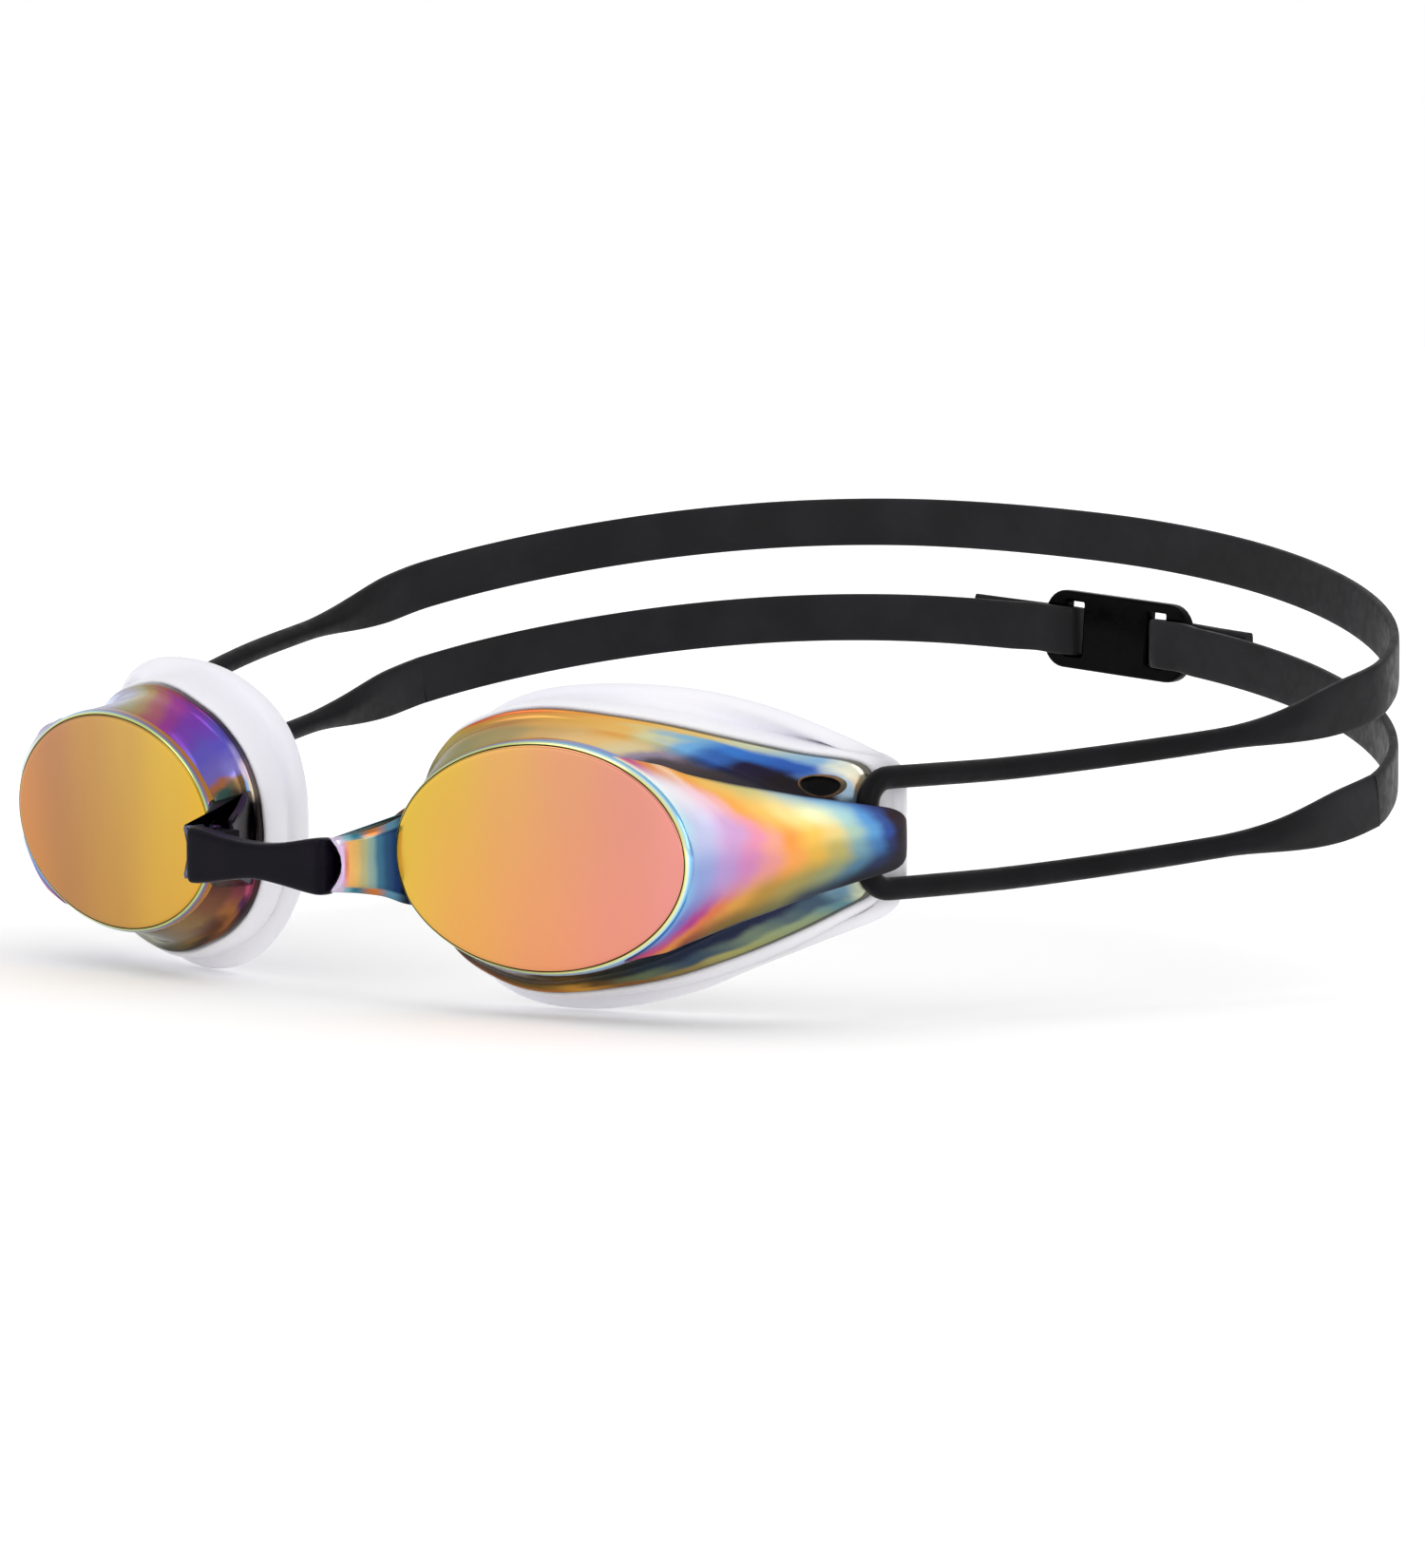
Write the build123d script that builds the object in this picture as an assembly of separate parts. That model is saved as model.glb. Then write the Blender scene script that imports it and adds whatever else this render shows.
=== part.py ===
from build123d import *
import math
import os

# Swim goggles, in millimetres. +Z is up, the goggles look along -Y and the wearer's left is +X.
# The origin is midway between the centres of the two lens faces. Outlines "from above" are lists of
# (x, y) and outlines "from the front" are lists of (x, z), both for the wearer's left lens.

# ---- lens face: a flat ellipse
FACE_CENTRE_X = 33.0
FACE_CENTRE_Y = -0.5
FACE_HALF_LENGTH = 18.7
FACE_HALF_HEIGHT = 12.1
FACE_WRAP = 7.8          # turned back about Z, degrees
FACE_RISE = 2.6          # long axis rises outwards, degrees
FACE_LEAN = 2.9          # top leans forward, degrees
FACE_THICKNESS = 2.0
WALL = 1.5

# ---- flange that carries the gasket: its edge from above, and its outline from the front
FLANGE_THICKNESS = 1.5
FLANGE_EDGE = [(12.5, 2.7), (22.0, 2.6), (32.0, 4.9), (44.0, 10.3), (53.0, 16.5), (59.3, 21.9)]
FLANGE_OUTLINE = [(58.2, -4.8), (50.0, -9.7), (40.0, -13.4), (29.0, -15.1), (20.0, -12.7), (14.8, -8.6),
                  (12.5, 0.0), (14.8, 8.6), (20.0, 13.2), (29.0, 15.5), (40.0, 14.6), (50.0, 12.1), (58.2, 10.4)]
FLANGE_END = [(59.5, 9.0), (59.5, -3.6)]

# ---- where the cup's wall would meet the plane through the flange's ends, from its outer end
CUP_FOOT = [(48.4, 2.3), (47.4, 6.0), (42.0, 9.0), (32.0, 13.2), (20.0, 15.4), (10.0, 13.4), (3.6, 8.2),
            (1.4, 0.0), (3.6, -8.0), (10.0, -13.0), (20.0, -14.8), (32.0, -11.0), (42.0, -4.8), (47.4, -1.2)]

# ---- gasket: a flat band next to the flange, and a lip that spreads to fit the face
GASKET_EDGE = [(11.0, 8.7), (22.0, 9.3), (33.0, 12.1), (45.0, 16.8), (54.0, 22.0), (60.4, 26.8)]
GASKET_OUTLINE = [(59.0, -7.0), (48.0, -12.6), (38.0, -16.3), (28.0, -17.2), (18.8, -14.7), (12.9, -8.9),
                  (11.0, 0.0), (12.9, 9.2), (18.8, 14.8), (28.0, 17.6), (38.0, 17.4), (48.0, 15.2), (59.0, 10.2)]
GASKET_END = [(60.3, 9.2), (60.3, -6.0)]
GASKET_BAND_DEPTH = 3.6
GASKET_BAND_MARGIN = 0.6
LIP_FRONT = -1.7
LIP_BACK = 1.5
OPENING = [(53.6, -1.2), (49.0, -5.4), (41.0, -9.6), (32.0, -11.0), (24.0, -9.9), (18.8, -6.4),
           (16.6, 0.0), (18.8, 6.6), (24.0, 10.2), (32.0, 11.3), (41.0, 10.3), (49.0, 7.9), (53.6, 5.4)]

# ---- wing that reaches back from the face, over the cord
WING_EDGE = [(40.0, 1.5), (46.0, 2.2), (50.4, 3.0), (54.8, 7.0), (59.3, 12.5), (62.7, 18.0), (64.3, 22.6)]
WING_ROOT_X = 51.4        # outwards of this nothing stands proud of the wing
WING_THICKNESS = 1.5
WING_TOP = [(40.0, 11.0), (50.0, 9.4), (57.0, 7.9), (64.6, 5.6)]
WING_BOTTOM = [(64.6, -0.8), (57.0, -4.1), (50.0, -7.7), (40.0, -10.3)]
WING_TIP = [(64.0, 21.8), (63.2, 24.0), (58.9, 22.4)]
WING_TIP_THICKNESS = 1.3
WING_TIP_HALF_HEIGHT = 2.7

# ---- nose bridge with its hinge pins
BRIDGE_Z = -1.5
WEB_HALF_LENGTH = 10.65
WEB_END_HALF_HEIGHT = 2.95
WEB_WAIST_HALF_HEIGHT = 1.8
WEB_FRONT_Y = -10.5
WEB_THICKNESS = 2.7
WEB_CORNER = 1.0
LEG_INNER_X = 7.9
LEG_OUTER_X = 9.5
LEG_BACK_Y = -4.4
PIN_X = 10.9
PIN_Y = -5.0
PIN_RADIUS = 1.2
PIN_CLEARANCE = 0.05
PIN_LENGTH = 4.8
NECK_WIDTH = 1.1

# ---- nose tab of each lens, which the pin snaps into
TAB_PLAN = [(10.3, -6.6), (11.3, -7.1), (11.4, -9.4), (12.3, -9.2), (13.1, -5.8), (15.2, -2.2), (16.2, 2.2),
            (13.4, 4.2),
            (12.3, 1.0), (10.15, -3.0)]
TAB_FRONT = [(9.5, 1.5), (12.0, 1.6), (14.6, 3.1), (17.5, 4.7), (17.5, -6.6), (14.6, -5.1), (12.0, -4.4),
             (9.5, -4.3)]

# ---- strap: one moulding, with round cords at the eyelets and two flat bands round the head
CORD_RADIUS = 1.25
CORD_SPREAD = 5.9        # each cord's height above or below the strap's middle
EYELET = (61.0, 20.3, 2.8)
EYELET_BEND = 2.9
TUNNEL_RADIUS = 1.6
CORD_GAP = 0.3
CORDS_LEFT = [(62.15, 27.0, 2.8), (64.2, 40.0, 2.9), (68.6, 53.5, 3.8), (73.9, 67.6, 5.2)]
CORDS_RIGHT = [(-62.15, 27.0, 3.5), (-63.8, 39.5, 6.4), (-66.5, 53.0, 9.4), (-69.7, 67.6, 11.8)]
BAND_WIDTH = 6.0
BAND_THICKNESS = 1.2
BAND_SPREAD = 6.1
TAPER_END_Y = 84.0
SIDE_Y = 86.0
BACK_Y = 124.5
HALF_WIDTH_LEFT = 78.1
HALF_WIDTH_RIGHT = 71.8
SIDE_POWER = 0.88
BACK_POWER = 1.1
STRAP_LEAN = -0.046      # height gained for each millimetre towards the wearer's left

# ---- clip on the lower band
CLIP_X = 13.1
CLIP_HALF_LENGTH = 11.65
CLIP_HEIGHT = 9.7
CLIP_THICKNESS = 1.7
CLIP_CORNER = 2.9
CLIP_STANDOFF = 0.8      # from the band's middle to the clip's inner face
SLOT_INNER = 5.3
SLOT_OUTER = 8.1
SLOT_HEIGHT = 7.0
CLIP_RAISE = 0.3         # the plate above the band's middle line
SLOT_RAISE = 0.42        # the slots above it
END_PATH = [(11.9, -0.4), (6.7, 0.0), (6.7, 3.4), (12.2, 3.4), (17.0, 1.5), (22.5, 0.4)]
END_BEND = 1.2
FEED_START = 12.2
FEED_END = 32.0

FAR = 60.0               # beyond every part of a lens
WIDE = 100.0             # beyond every part of the strap


def shifted(points, distance):
    """The points of an open run, moved to the left of its direction of travel."""
    moved = []
    last = len(points) - 1
    for i, (x, y) in enumerate(points):
        x0, y0 = points[max(i - 1, 0)]
        x1, y1 = points[min(i + 1, last)]
        size = math.hypot(x1 - x0, y1 - y0)
        moved.append((x - (y1 - y0) / size * distance, y + (x1 - x0) / size * distance))
    return moved


def upright_sheet(points, near, far, height=FAR):
    """A tall sheet that stands on a curve drawn from above, from near to far behind it."""
    front = shifted(points, near)
    back = shifted(points, far)
    edges = [Spline(*front), Line(front[-1], back[-1]), Spline(*reversed(back)), Line(back[0], front[0])]
    return extrude(make_face(edges), height, both=True)


def space_ahead(points, distance):
    """Everything in front of a curve drawn from above that is moved back by distance."""
    back = shifted(points, distance)
    corners = [back[-1], (FAR + 30, back[-1][1]), (FAR + 30, -FAR), (-FAR, -FAR), (-FAR, back[0][1]), back[0]]
    return extrude(make_face([Spline(*back), Polyline(*corners)]), FAR, both=True)


def along_y(face):
    """A long bar along Y with the outline of a face drawn from the front."""
    return extrude(Plane.XZ * face, FAR, both=True)


def teardrop(outline, end=()):
    """A face drawn from the front: a smooth run round the nose side, closed by straight edges."""
    return make_face([Spline(*outline), Polyline(outline[-1], *end, outline[0])])


def face_plane(depth):
    """The plane of the left lens's face, at a depth behind its front."""
    wrap = math.radians(FACE_WRAP)
    rise = math.radians(FACE_RISE)
    lean = math.radians(FACE_LEAN)
    along = Vector(math.cos(wrap), math.sin(wrap), 0)
    ahead = Vector(math.sin(wrap), -math.cos(wrap), 0)
    up = Vector(0, 0, 1) * math.cos(lean) + ahead * math.sin(lean)
    x_dir = along * math.cos(rise) + up * math.sin(rise)
    normal = x_dir.cross(up * math.cos(rise) - along * math.sin(rise))
    return Plane(origin=Vector(FACE_CENTRE_X, FACE_CENTRE_Y, 0) - normal * depth, x_dir=x_dir, z_dir=normal)


def foot_plane():
    """The upright plane through the two ends of the flange's edge."""
    (x0, y0), (x1, y1) = FLANGE_EDGE[0], FLANGE_EDGE[-1]
    along = Vector(x1 - x0, y1 - y0, 0).normalized()
    return Plane(origin=(x0, y0, 0), x_dir=along, z_dir=along.cross(Vector(0, 0, 1)))


def foot_outline(inset):
    """The cup's outline on the foot plane, drawn in by inset."""
    ring = [CUP_FOOT[-1], *CUP_FOOT, CUP_FOOT[0]]
    return Spline(*shifted(ring, inset)[1:-1], periodic=True)


def cup(inset, depth):
    """The solid that widens from the face's ellipse to the cup's foot."""
    ellipse = face_plane(depth) * Ellipse(FACE_HALF_LENGTH - inset, FACE_HALF_HEIGHT - inset)
    foot = foot_plane() * make_face(foot_outline(inset))
    return loft([ellipse.face(), foot.face()])


def cup_hollow():
    """The air inside the cup, carried on through the flange."""
    foot = foot_plane() * make_face(foot_outline(WALL))
    return cup(WALL, FACE_THICKNESS) + extrude(foot, -FAR / 2)


def wing():
    """The blade from the face back to the tip, which turns in behind the cord to meet the flange."""
    outline = make_face([Spline(*WING_TOP), Spline(*WING_BOTTOM), Line(WING_TOP[-1], WING_BOTTOM[0]),
                         Line(WING_BOTTOM[-1], WING_TOP[0])])
    blade = upright_sheet(WING_EDGE, 0, WING_THICKNESS) & along_y(outline)
    tip = Pos(0, 0, EYELET[2]) * upright_sheet(WING_TIP, 0, WING_TIP_THICKNESS, WING_TIP_HALF_HEIGHT)
    return (blade + tip) & space_ahead(FLANGE_EDGE, FLANGE_THICKNESS)


def nose_tab():
    """The flared tab beside the nose, with an open bore for the bridge's pin."""
    plan = extrude(make_face(Polyline(*TAB_PLAN, close=True)), FAR, both=True)
    front = along_y(make_face(Polyline(*TAB_FRONT, close=True)))
    bore = Pos(PIN_X, PIN_Y, BRIDGE_Z) * Cylinder(PIN_RADIUS + PIN_CLEARANCE, FAR)
    return (plan & front) - bore


def lens():
    """Face, cup, flange, wing and nose tab: one clear moulding."""
    shell = cup(0, 0) & space_ahead(FLANGE_EDGE, FLANGE_THICKNESS)
    shell -= between(upright_sheet(WING_EDGE, -FACE_THICKNESS * 3, 0), WING_ROOT_X, WIDE)
    flange = upright_sheet(FLANGE_EDGE, 0, FLANGE_THICKNESS) & along_y(teardrop(FLANGE_OUTLINE, FLANGE_END))
    return shell + flange + wing() - cup_hollow() + nose_tab() - strap_loop(CORDS_LEFT, TUNNEL_RADIUS)


def gasket():
    """The soft ring bonded to the flange's back."""
    band_face = teardrop(shifted(FLANGE_OUTLINE, GASKET_BAND_MARGIN), FLANGE_END)
    depth = FLANGE_THICKNESS + GASKET_BAND_DEPTH
    band = upright_sheet(FLANGE_EDGE, FLANGE_THICKNESS, depth) & along_y(band_face)
    lip = upright_sheet(GASKET_EDGE, LIP_FRONT, LIP_BACK) & along_y(teardrop(GASKET_OUTLINE, GASKET_END))
    lip -= space_ahead(FLANGE_EDGE, FLANGE_THICKNESS)
    return band + lip - along_y(teardrop(OPENING))


def nose_bridge():
    """The dog-bone web with a leg, neck and upright pin at each end."""
    end, waist, half = WEB_END_HALF_HEIGHT, WEB_WAIST_HALF_HEIGHT, WEB_HALF_LENGTH
    top = Spline((-half, end), (0, waist), (half, end), tangents=[(1, -0.1), (1, 0.1)])
    bottom = Spline((half, -end), (0, -waist), (-half, -end), tangents=[(-1, 0.1), (-1, -0.1)])
    bone = make_face([top, bottom, Line((half, end), (half, -end)), Line((-half, -end), (-half, end))])
    bone = fillet(bone.vertices(), WEB_CORNER)
    web = extrude(Plane.XZ.offset(-WEB_FRONT_Y) * Pos(0, BRIDGE_Z) * bone, -WEB_THICKNESS)
    leg_depth = LEG_BACK_Y - WEB_FRONT_Y - WEB_THICKNESS / 2
    leg_middle = ((LEG_INNER_X + LEG_OUTER_X) / 2, LEG_BACK_Y - leg_depth / 2, BRIDGE_Z)
    leg = Pos(leg_middle) * Box(LEG_OUTER_X - LEG_INNER_X, leg_depth, PIN_LENGTH)
    neck_length = PIN_X - LEG_OUTER_X + 0.4
    neck = Pos(PIN_X - neck_length / 2, PIN_Y, BRIDGE_Z) * Box(neck_length, NECK_WIDTH, PIN_LENGTH)
    pin = Pos(PIN_X, PIN_Y, BRIDGE_Z) * Cylinder(PIN_RADIUS, PIN_LENGTH)
    side = leg + neck + pin
    return web + side + mirror(side, Plane.YZ)


def bend_radii(points):
    """One radius for each corner of a route, as large as its two runs allow."""
    radii = []
    for before, corner, after in zip(points, points[1:], points[2:]):
        run_in = Vector(*corner) - Vector(*before)
        run_out = Vector(*after) - Vector(*corner)
        half_turn = math.radians(run_in.get_angle(run_out) / 2)
        radii.append(0.45 * min(run_in.length, run_out.length) / math.tan(half_turn))
    return radii


def cord_route(points, sign):
    """The route of the upper (sign 1) or lower (sign -1) cord, starting just clear of the loop."""
    route = [Vector(x, y, z + sign * CORD_SPREAD) for x, y, z in points]
    start = route[0] + (route[1] - route[0]).normalized() * CORD_GAP
    return [start, *route[1:]]


def cord(points, sign):
    """A straight-and-arc tube from the loop to the taper."""
    route = cord_route(points, sign)
    line = FilletPolyline(*route, radius=bend_radii(route))
    return sweep(Plane(origin=line @ 0, z_dir=line % 0) * Circle(CORD_RADIUS), path=line)


def strap_loop(points, radius=CORD_RADIUS):
    """The tight U of cord that goes through the eyelet tunnel."""
    x, y, z = EYELET
    side = math.copysign(1, points[0][0])
    far_x, far_y, far_z = points[0]
    corners = [(far_x, far_y, far_z + CORD_SPREAD), (side * x, y, z + CORD_SPREAD), (side * x, y, z - CORD_SPREAD),
               (far_x, far_y, far_z - CORD_SPREAD)]
    line = FilletPolyline(*corners, radius=EYELET_BEND)
    return sweep(Plane(origin=line @ 0, z_dir=line % 0) * Circle(radius), path=line)


def strap_height(x, y):
    """Height of the strap's middle, between its two bands."""
    back = y - EYELET[1]
    return 5.7 - 0.037 * back + 0.00206 * back * back + STRAP_LEAN * x


def loop_point(turn):
    """A point of the strap from above: turn is 90 at its left side, 0 at the back and -90 at its right."""
    half_width = HALF_WIDTH_LEFT if turn > 0 else HALF_WIDTH_RIGHT
    across = abs(math.sin(math.radians(turn))) ** SIDE_POWER
    back = abs(math.cos(math.radians(turn))) ** BACK_POWER
    return math.copysign(half_width * across, turn), SIDE_Y + (BACK_Y - SIDE_Y) * back


def band_zone(sign):
    """The long layer, curved in side view, that holds the upper or lower band."""
    rows = [78.0, 90.0, 102.0, 114.0, 128.0]
    low = [(y, strap_height(0, y) + sign * BAND_SPREAD - BAND_WIDTH / 2) for y in rows]
    high = [(y, z + BAND_WIDTH) for y, z in low]
    edges = [Spline(*low), Line(low[-1], high[-1]), Spline(*reversed(high)), Line(high[0], low[0])]
    return extrude(Plane.YZ * make_face(edges), WIDE, dir=(1, 0, STRAP_LEAN), both=True)


def band(sign):
    """A whole flat band, from one taper round the back to the other."""
    turns = [88.5, 80, 70, 60, 48, 36, 24, 12, 0, -12, -24, -36, -48, -60, -70, -80, -88.5]
    ends = [(HALF_WIDTH_LEFT, TAPER_END_Y)], [(-HALF_WIDTH_RIGHT, TAPER_END_Y)]
    points = ends[0] + [loop_point(turn) for turn in turns] + ends[1]
    half = BAND_THICKNESS / 2
    return upright_sheet(points, -half, half, WIDE) & band_zone(sign)


def taper(points, sign):
    """The stretch where the round cord flattens into the band."""
    route = cord_route(points, sign)
    start = route[-1]
    side_x = HALF_WIDTH_LEFT if start.X > 0 else -HALF_WIDTH_RIGHT
    end = Vector(side_x, TAPER_END_Y, strap_height(side_x, TAPER_END_Y) + sign * BAND_SPREAD)
    round_end = Plane(origin=start, x_dir=(1, 0, 0), z_dir=start - route[-2]) * Circle(CORD_RADIUS)
    flat_end = Plane(origin=end, x_dir=(1, 0, 0), z_dir=(0, 1, 0)) * Rectangle(BAND_THICKNESS, BAND_WIDTH)
    return loft([round_end.face(), flat_end.face()])


def clip_plane():
    """The clip's plane on the lower band: x towards the wearer's left, y down, z outwards."""
    half = HALF_WIDTH_LEFT
    turn = math.degrees(math.asin((CLIP_X / half) ** (1 / SIDE_POWER)))
    spots = [loop_point(turn + step) for step in (-1, 0, 1)]
    before, middle, after = [Vector(x, y, strap_height(x, y) - BAND_SPREAD) for x, y in spots]
    x_dir = (after - before).normalized()
    outward = x_dir.cross(Vector(0, 0, 1)).normalized() * -1
    return Plane(origin=middle, x_dir=x_dir, z_dir=outward)


def clip():
    """A flat buckle: a centre panel between two slots and two end bars."""
    plate = Pos(0, -CLIP_RAISE) * RectangleRounded(2 * CLIP_HALF_LENGTH, CLIP_HEIGHT, CLIP_CORNER)
    slot = Rectangle(SLOT_OUTER - SLOT_INNER, SLOT_HEIGHT)
    middle = (SLOT_OUTER + SLOT_INNER) / 2
    plate -= [Pos(middle, -SLOT_RAISE) * slot, Pos(-middle, -SLOT_RAISE) * slot]
    body = extrude(clip_plane().offset(CLIP_STANDOFF) * plate, CLIP_THICKNESS)
    return body


def strap_end(side):
    """The end of a lower band: over the end bar, out through the slot and back along the outside."""
    plane = clip_plane()
    up = plane.y_dir
    route = [plane.from_local_coords(Vector(side * u, 0, v)) for u, v in END_PATH]
    radii = [END_BEND * 4, END_BEND, END_BEND, END_BEND, END_BEND * 4]
    line = FilletPolyline(*route, radius=[min(r, 0.9 * b) for r, b in zip(radii, bend_radii(route))])
    start = Plane(origin=line @ 0, x_dir=up, z_dir=line % 0)
    return sweep(start * Rectangle(BAND_WIDTH, BAND_THICKNESS), path=line)


def between(shape, low_x, high_x):
    """The part of a shape between two heights of x."""
    slab = Pos((low_x + high_x) / 2, 0, 0) * Box(high_x - low_x, 4 * WIDE, 4 * WIDE)
    return shape & slab


def parts():
    """Every node's name and solid."""
    left = {"lens": lens(), "gasket": gasket()}
    nodes = {"nose_bridge": nose_bridge()}
    for name, shape in left.items():
        nodes[name + "_left"] = shape
        nodes[name + "_right"] = mirror(shape, Plane.YZ)
    for side, points in (("left", CORDS_LEFT), ("right", CORDS_RIGHT)):
        nodes["strap_loop_" + side] = strap_loop(points)
        nodes["cord_upper_" + side] = cord(points, 1)
        nodes["cord_lower_" + side] = cord(points, -1)
    lower = band(-1)
    nodes["strap_upper_band"] = band(1) + taper(CORDS_LEFT, 1) + taper(CORDS_RIGHT, 1)
    left_feed = CLIP_X + FEED_START
    right_feed = CLIP_X - FEED_START
    left_edge = CLIP_X + FEED_END
    right_edge = CLIP_X - FEED_END
    nodes["strap_lower_left"] = between(lower, left_edge, WIDE) + taper(CORDS_LEFT, -1)
    nodes["strap_feed_left"] = between(lower, left_feed, left_edge)
    nodes["strap_feed_right"] = between(lower, right_edge, right_feed)
    nodes["strap_lower_right"] = between(lower, -WIDE, right_edge) + taper(CORDS_RIGHT, -1)
    nodes["strap_end_left"] = strap_end(1)
    nodes["strap_end_right"] = strap_end(-1)
    nodes["strap_clip"] = clip()
    return nodes


os.makedirs("parts", exist_ok=True)
for side, route in (("left", CORDS_LEFT), ("right", CORDS_RIGHT)):
    for sign in (1, -1):
        print(side, "cord bend radii", [round(r, 1) for r in bend_radii(cord_route(route, sign))])
for node, solid in parts().items():
    export_step(solid, f"parts/{node}.step")
    size = solid.bounding_box().size
    print(f"{node:18s} {solid.volume:9.1f} mm3  {size.X:6.1f} {size.Y:6.1f} {size.Z:6.1f}")
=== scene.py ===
import math

import bpy
import numpy as np
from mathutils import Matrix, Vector


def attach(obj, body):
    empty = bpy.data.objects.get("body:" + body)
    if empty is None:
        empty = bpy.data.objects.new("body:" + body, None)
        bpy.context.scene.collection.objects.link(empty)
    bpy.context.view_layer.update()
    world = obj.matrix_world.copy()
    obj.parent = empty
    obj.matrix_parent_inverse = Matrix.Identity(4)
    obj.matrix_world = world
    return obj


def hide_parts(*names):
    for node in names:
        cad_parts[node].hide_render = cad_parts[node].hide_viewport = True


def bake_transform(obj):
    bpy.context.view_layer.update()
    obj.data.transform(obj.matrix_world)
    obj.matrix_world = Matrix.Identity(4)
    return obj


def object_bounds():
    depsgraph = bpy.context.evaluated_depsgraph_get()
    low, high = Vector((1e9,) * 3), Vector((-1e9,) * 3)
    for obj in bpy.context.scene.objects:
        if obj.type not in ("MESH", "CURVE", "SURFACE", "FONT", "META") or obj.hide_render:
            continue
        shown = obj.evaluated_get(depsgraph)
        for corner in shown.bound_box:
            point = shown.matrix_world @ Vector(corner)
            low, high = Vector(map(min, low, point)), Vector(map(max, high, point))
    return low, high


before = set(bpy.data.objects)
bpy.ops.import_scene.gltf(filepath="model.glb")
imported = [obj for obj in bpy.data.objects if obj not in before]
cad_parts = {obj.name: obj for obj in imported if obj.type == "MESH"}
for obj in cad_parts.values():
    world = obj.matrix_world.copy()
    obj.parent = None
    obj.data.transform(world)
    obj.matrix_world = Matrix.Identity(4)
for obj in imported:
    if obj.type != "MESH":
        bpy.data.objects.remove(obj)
CAD_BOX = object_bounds()

# Swim goggles. Lengths are in millimetres until a mesh is made; outlines seen from the front are (x, z)
# and edges seen from above are (x, y), all for the wearer's left lens. The right lens is its mirror image.
MM = 0.001
AROUND = 112              # points round a lens
STEP = 2.0                # spacing of strap sections
CORD_SIDES = 20           # points round a section: cord, band and pin
BAND_SIDES = 28
PIN_SIDES = 32

# ---- lens face
FACE_CENTRE = Vector((33.0, -0.5, 0.0))
FACE_HALF_LENGTH = 18.7
FACE_HALF_HEIGHT = 12.05
FACE_WRAP = 7.8
FACE_RISE = 2.6
FACE_LEAN = 2.9
FACE_COLOUR_SPAN = (14.5, 51.5)   # x where the face's colour run starts and ends
FACE_COLOUR_DROP = 12.0   # height above and below the middle over which it warms

# ---- flange and gasket
FLANGE_EDGE = [(8.0, 2.8), (12.5, 2.5), (22.0, 2.4), (32.0, 4.8), (44.0, 10.3), (53.0, 16.5), (59.3, 21.9),
               (63.0, 25.4)]
FLANGE_LEAN = 0.07        # the nose half leans forward at its top, per millimetre of height
FLANGE_TOP = [(12.5, 0.0), (12.9, 4.3), (14.8, 8.6), (18.3, 12.1), (22.0, 13.9), (26.5, 15.2), (32.0, 15.5),
              (41.0, 14.3), (47.8, 12.7), (53.7, 11.2), (57.9, 10.4), (59.2, 9.4), (59.5, 7.4), (59.5, 2.7)]
FLANGE_BOTTOM = [(12.5, 0.0), (13.0, -4.5), (15.0, -8.8), (18.3, -11.8), (22.0, -13.5), (26.5, -14.8),
                 (32.0, -14.9), (41.0, -13.3), (47.8, -10.8), (53.7, -7.7), (57.9, -4.9), (59.2, -4.0),
                 (59.5, -2.6), (59.5, 2.7)]
FOOT_TOP = [(13.7, 0.0), (14.2, 4.3), (16.2, 8.2), (19.6, 11.2), (23.5, 12.9), (28.0, 13.9), (33.0, 14.0),
            (41.0, 12.6), (47.8, 10.0), (53.0, 7.4), (56.0, 5.9), (57.2, 4.4), (57.4, 2.6)]
FOOT_BOTTOM = [(13.7, 0.0), (14.4, -4.4), (16.5, -8.2), (19.8, -10.9), (23.5, -12.5), (28.0, -13.5),
               (33.0, -13.2), (41.0, -11.1), (47.8, -7.6), (53.0, -4.0), (56.0, -1.4), (57.2, 0.4),
               (57.4, 2.6)]
GASKET_EDGE = [(7.0, 8.5), (11.0, 8.7), (22.0, 9.3), (33.0, 12.1), (45.0, 16.8), (54.0, 22.0), (60.4, 26.8),
               (64.0, 30.0)]
GASKET_TOP = [(11.0, 0.0), (11.3, 4.4), (12.9, 9.2), (15.6, 12.7), (19.5, 15.3), (25.0, 17.2), (32.5, 18.0),
              (41.0, 17.7), (48.0, 16.2), (54.0, 13.7), (58.4, 11.2), (60.0, 9.4), (60.4, 6.8), (60.4, 2.2)]
GASKET_BOTTOM = [(11.0, 0.0), (11.4, -4.4), (12.9, -8.4), (15.6, -12.2), (19.5, -15.3), (25.0, -17.0),
                 (32.5, -17.1), (41.0, -15.1), (48.0, -11.9), (54.0, -9.0), (58.4, -6.8), (60.0, -5.3),
                 (60.4, -3.0), (60.4, 2.2)]
OPENING_TOP = [(16.6, 0.0), (17.2, 4.0), (19.4, 7.4), (24.0, 10.2), (32.0, 11.3), (41.0, 10.3), (49.0, 7.9),
               (52.6, 5.6), (53.6, 2.1)]
OPENING_BOTTOM = [(16.6, 0.0), (17.2, -4.0), (19.4, -7.2), (24.0, -9.9), (32.0, -11.0), (41.0, -9.6),
                  (49.0, -5.4), (52.6, -1.8), (53.6, 2.1)]
FLANGE_THICKNESS = 1.5
CUP_DEPTH = 2.3           # from the face to the inside of the cup

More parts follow.
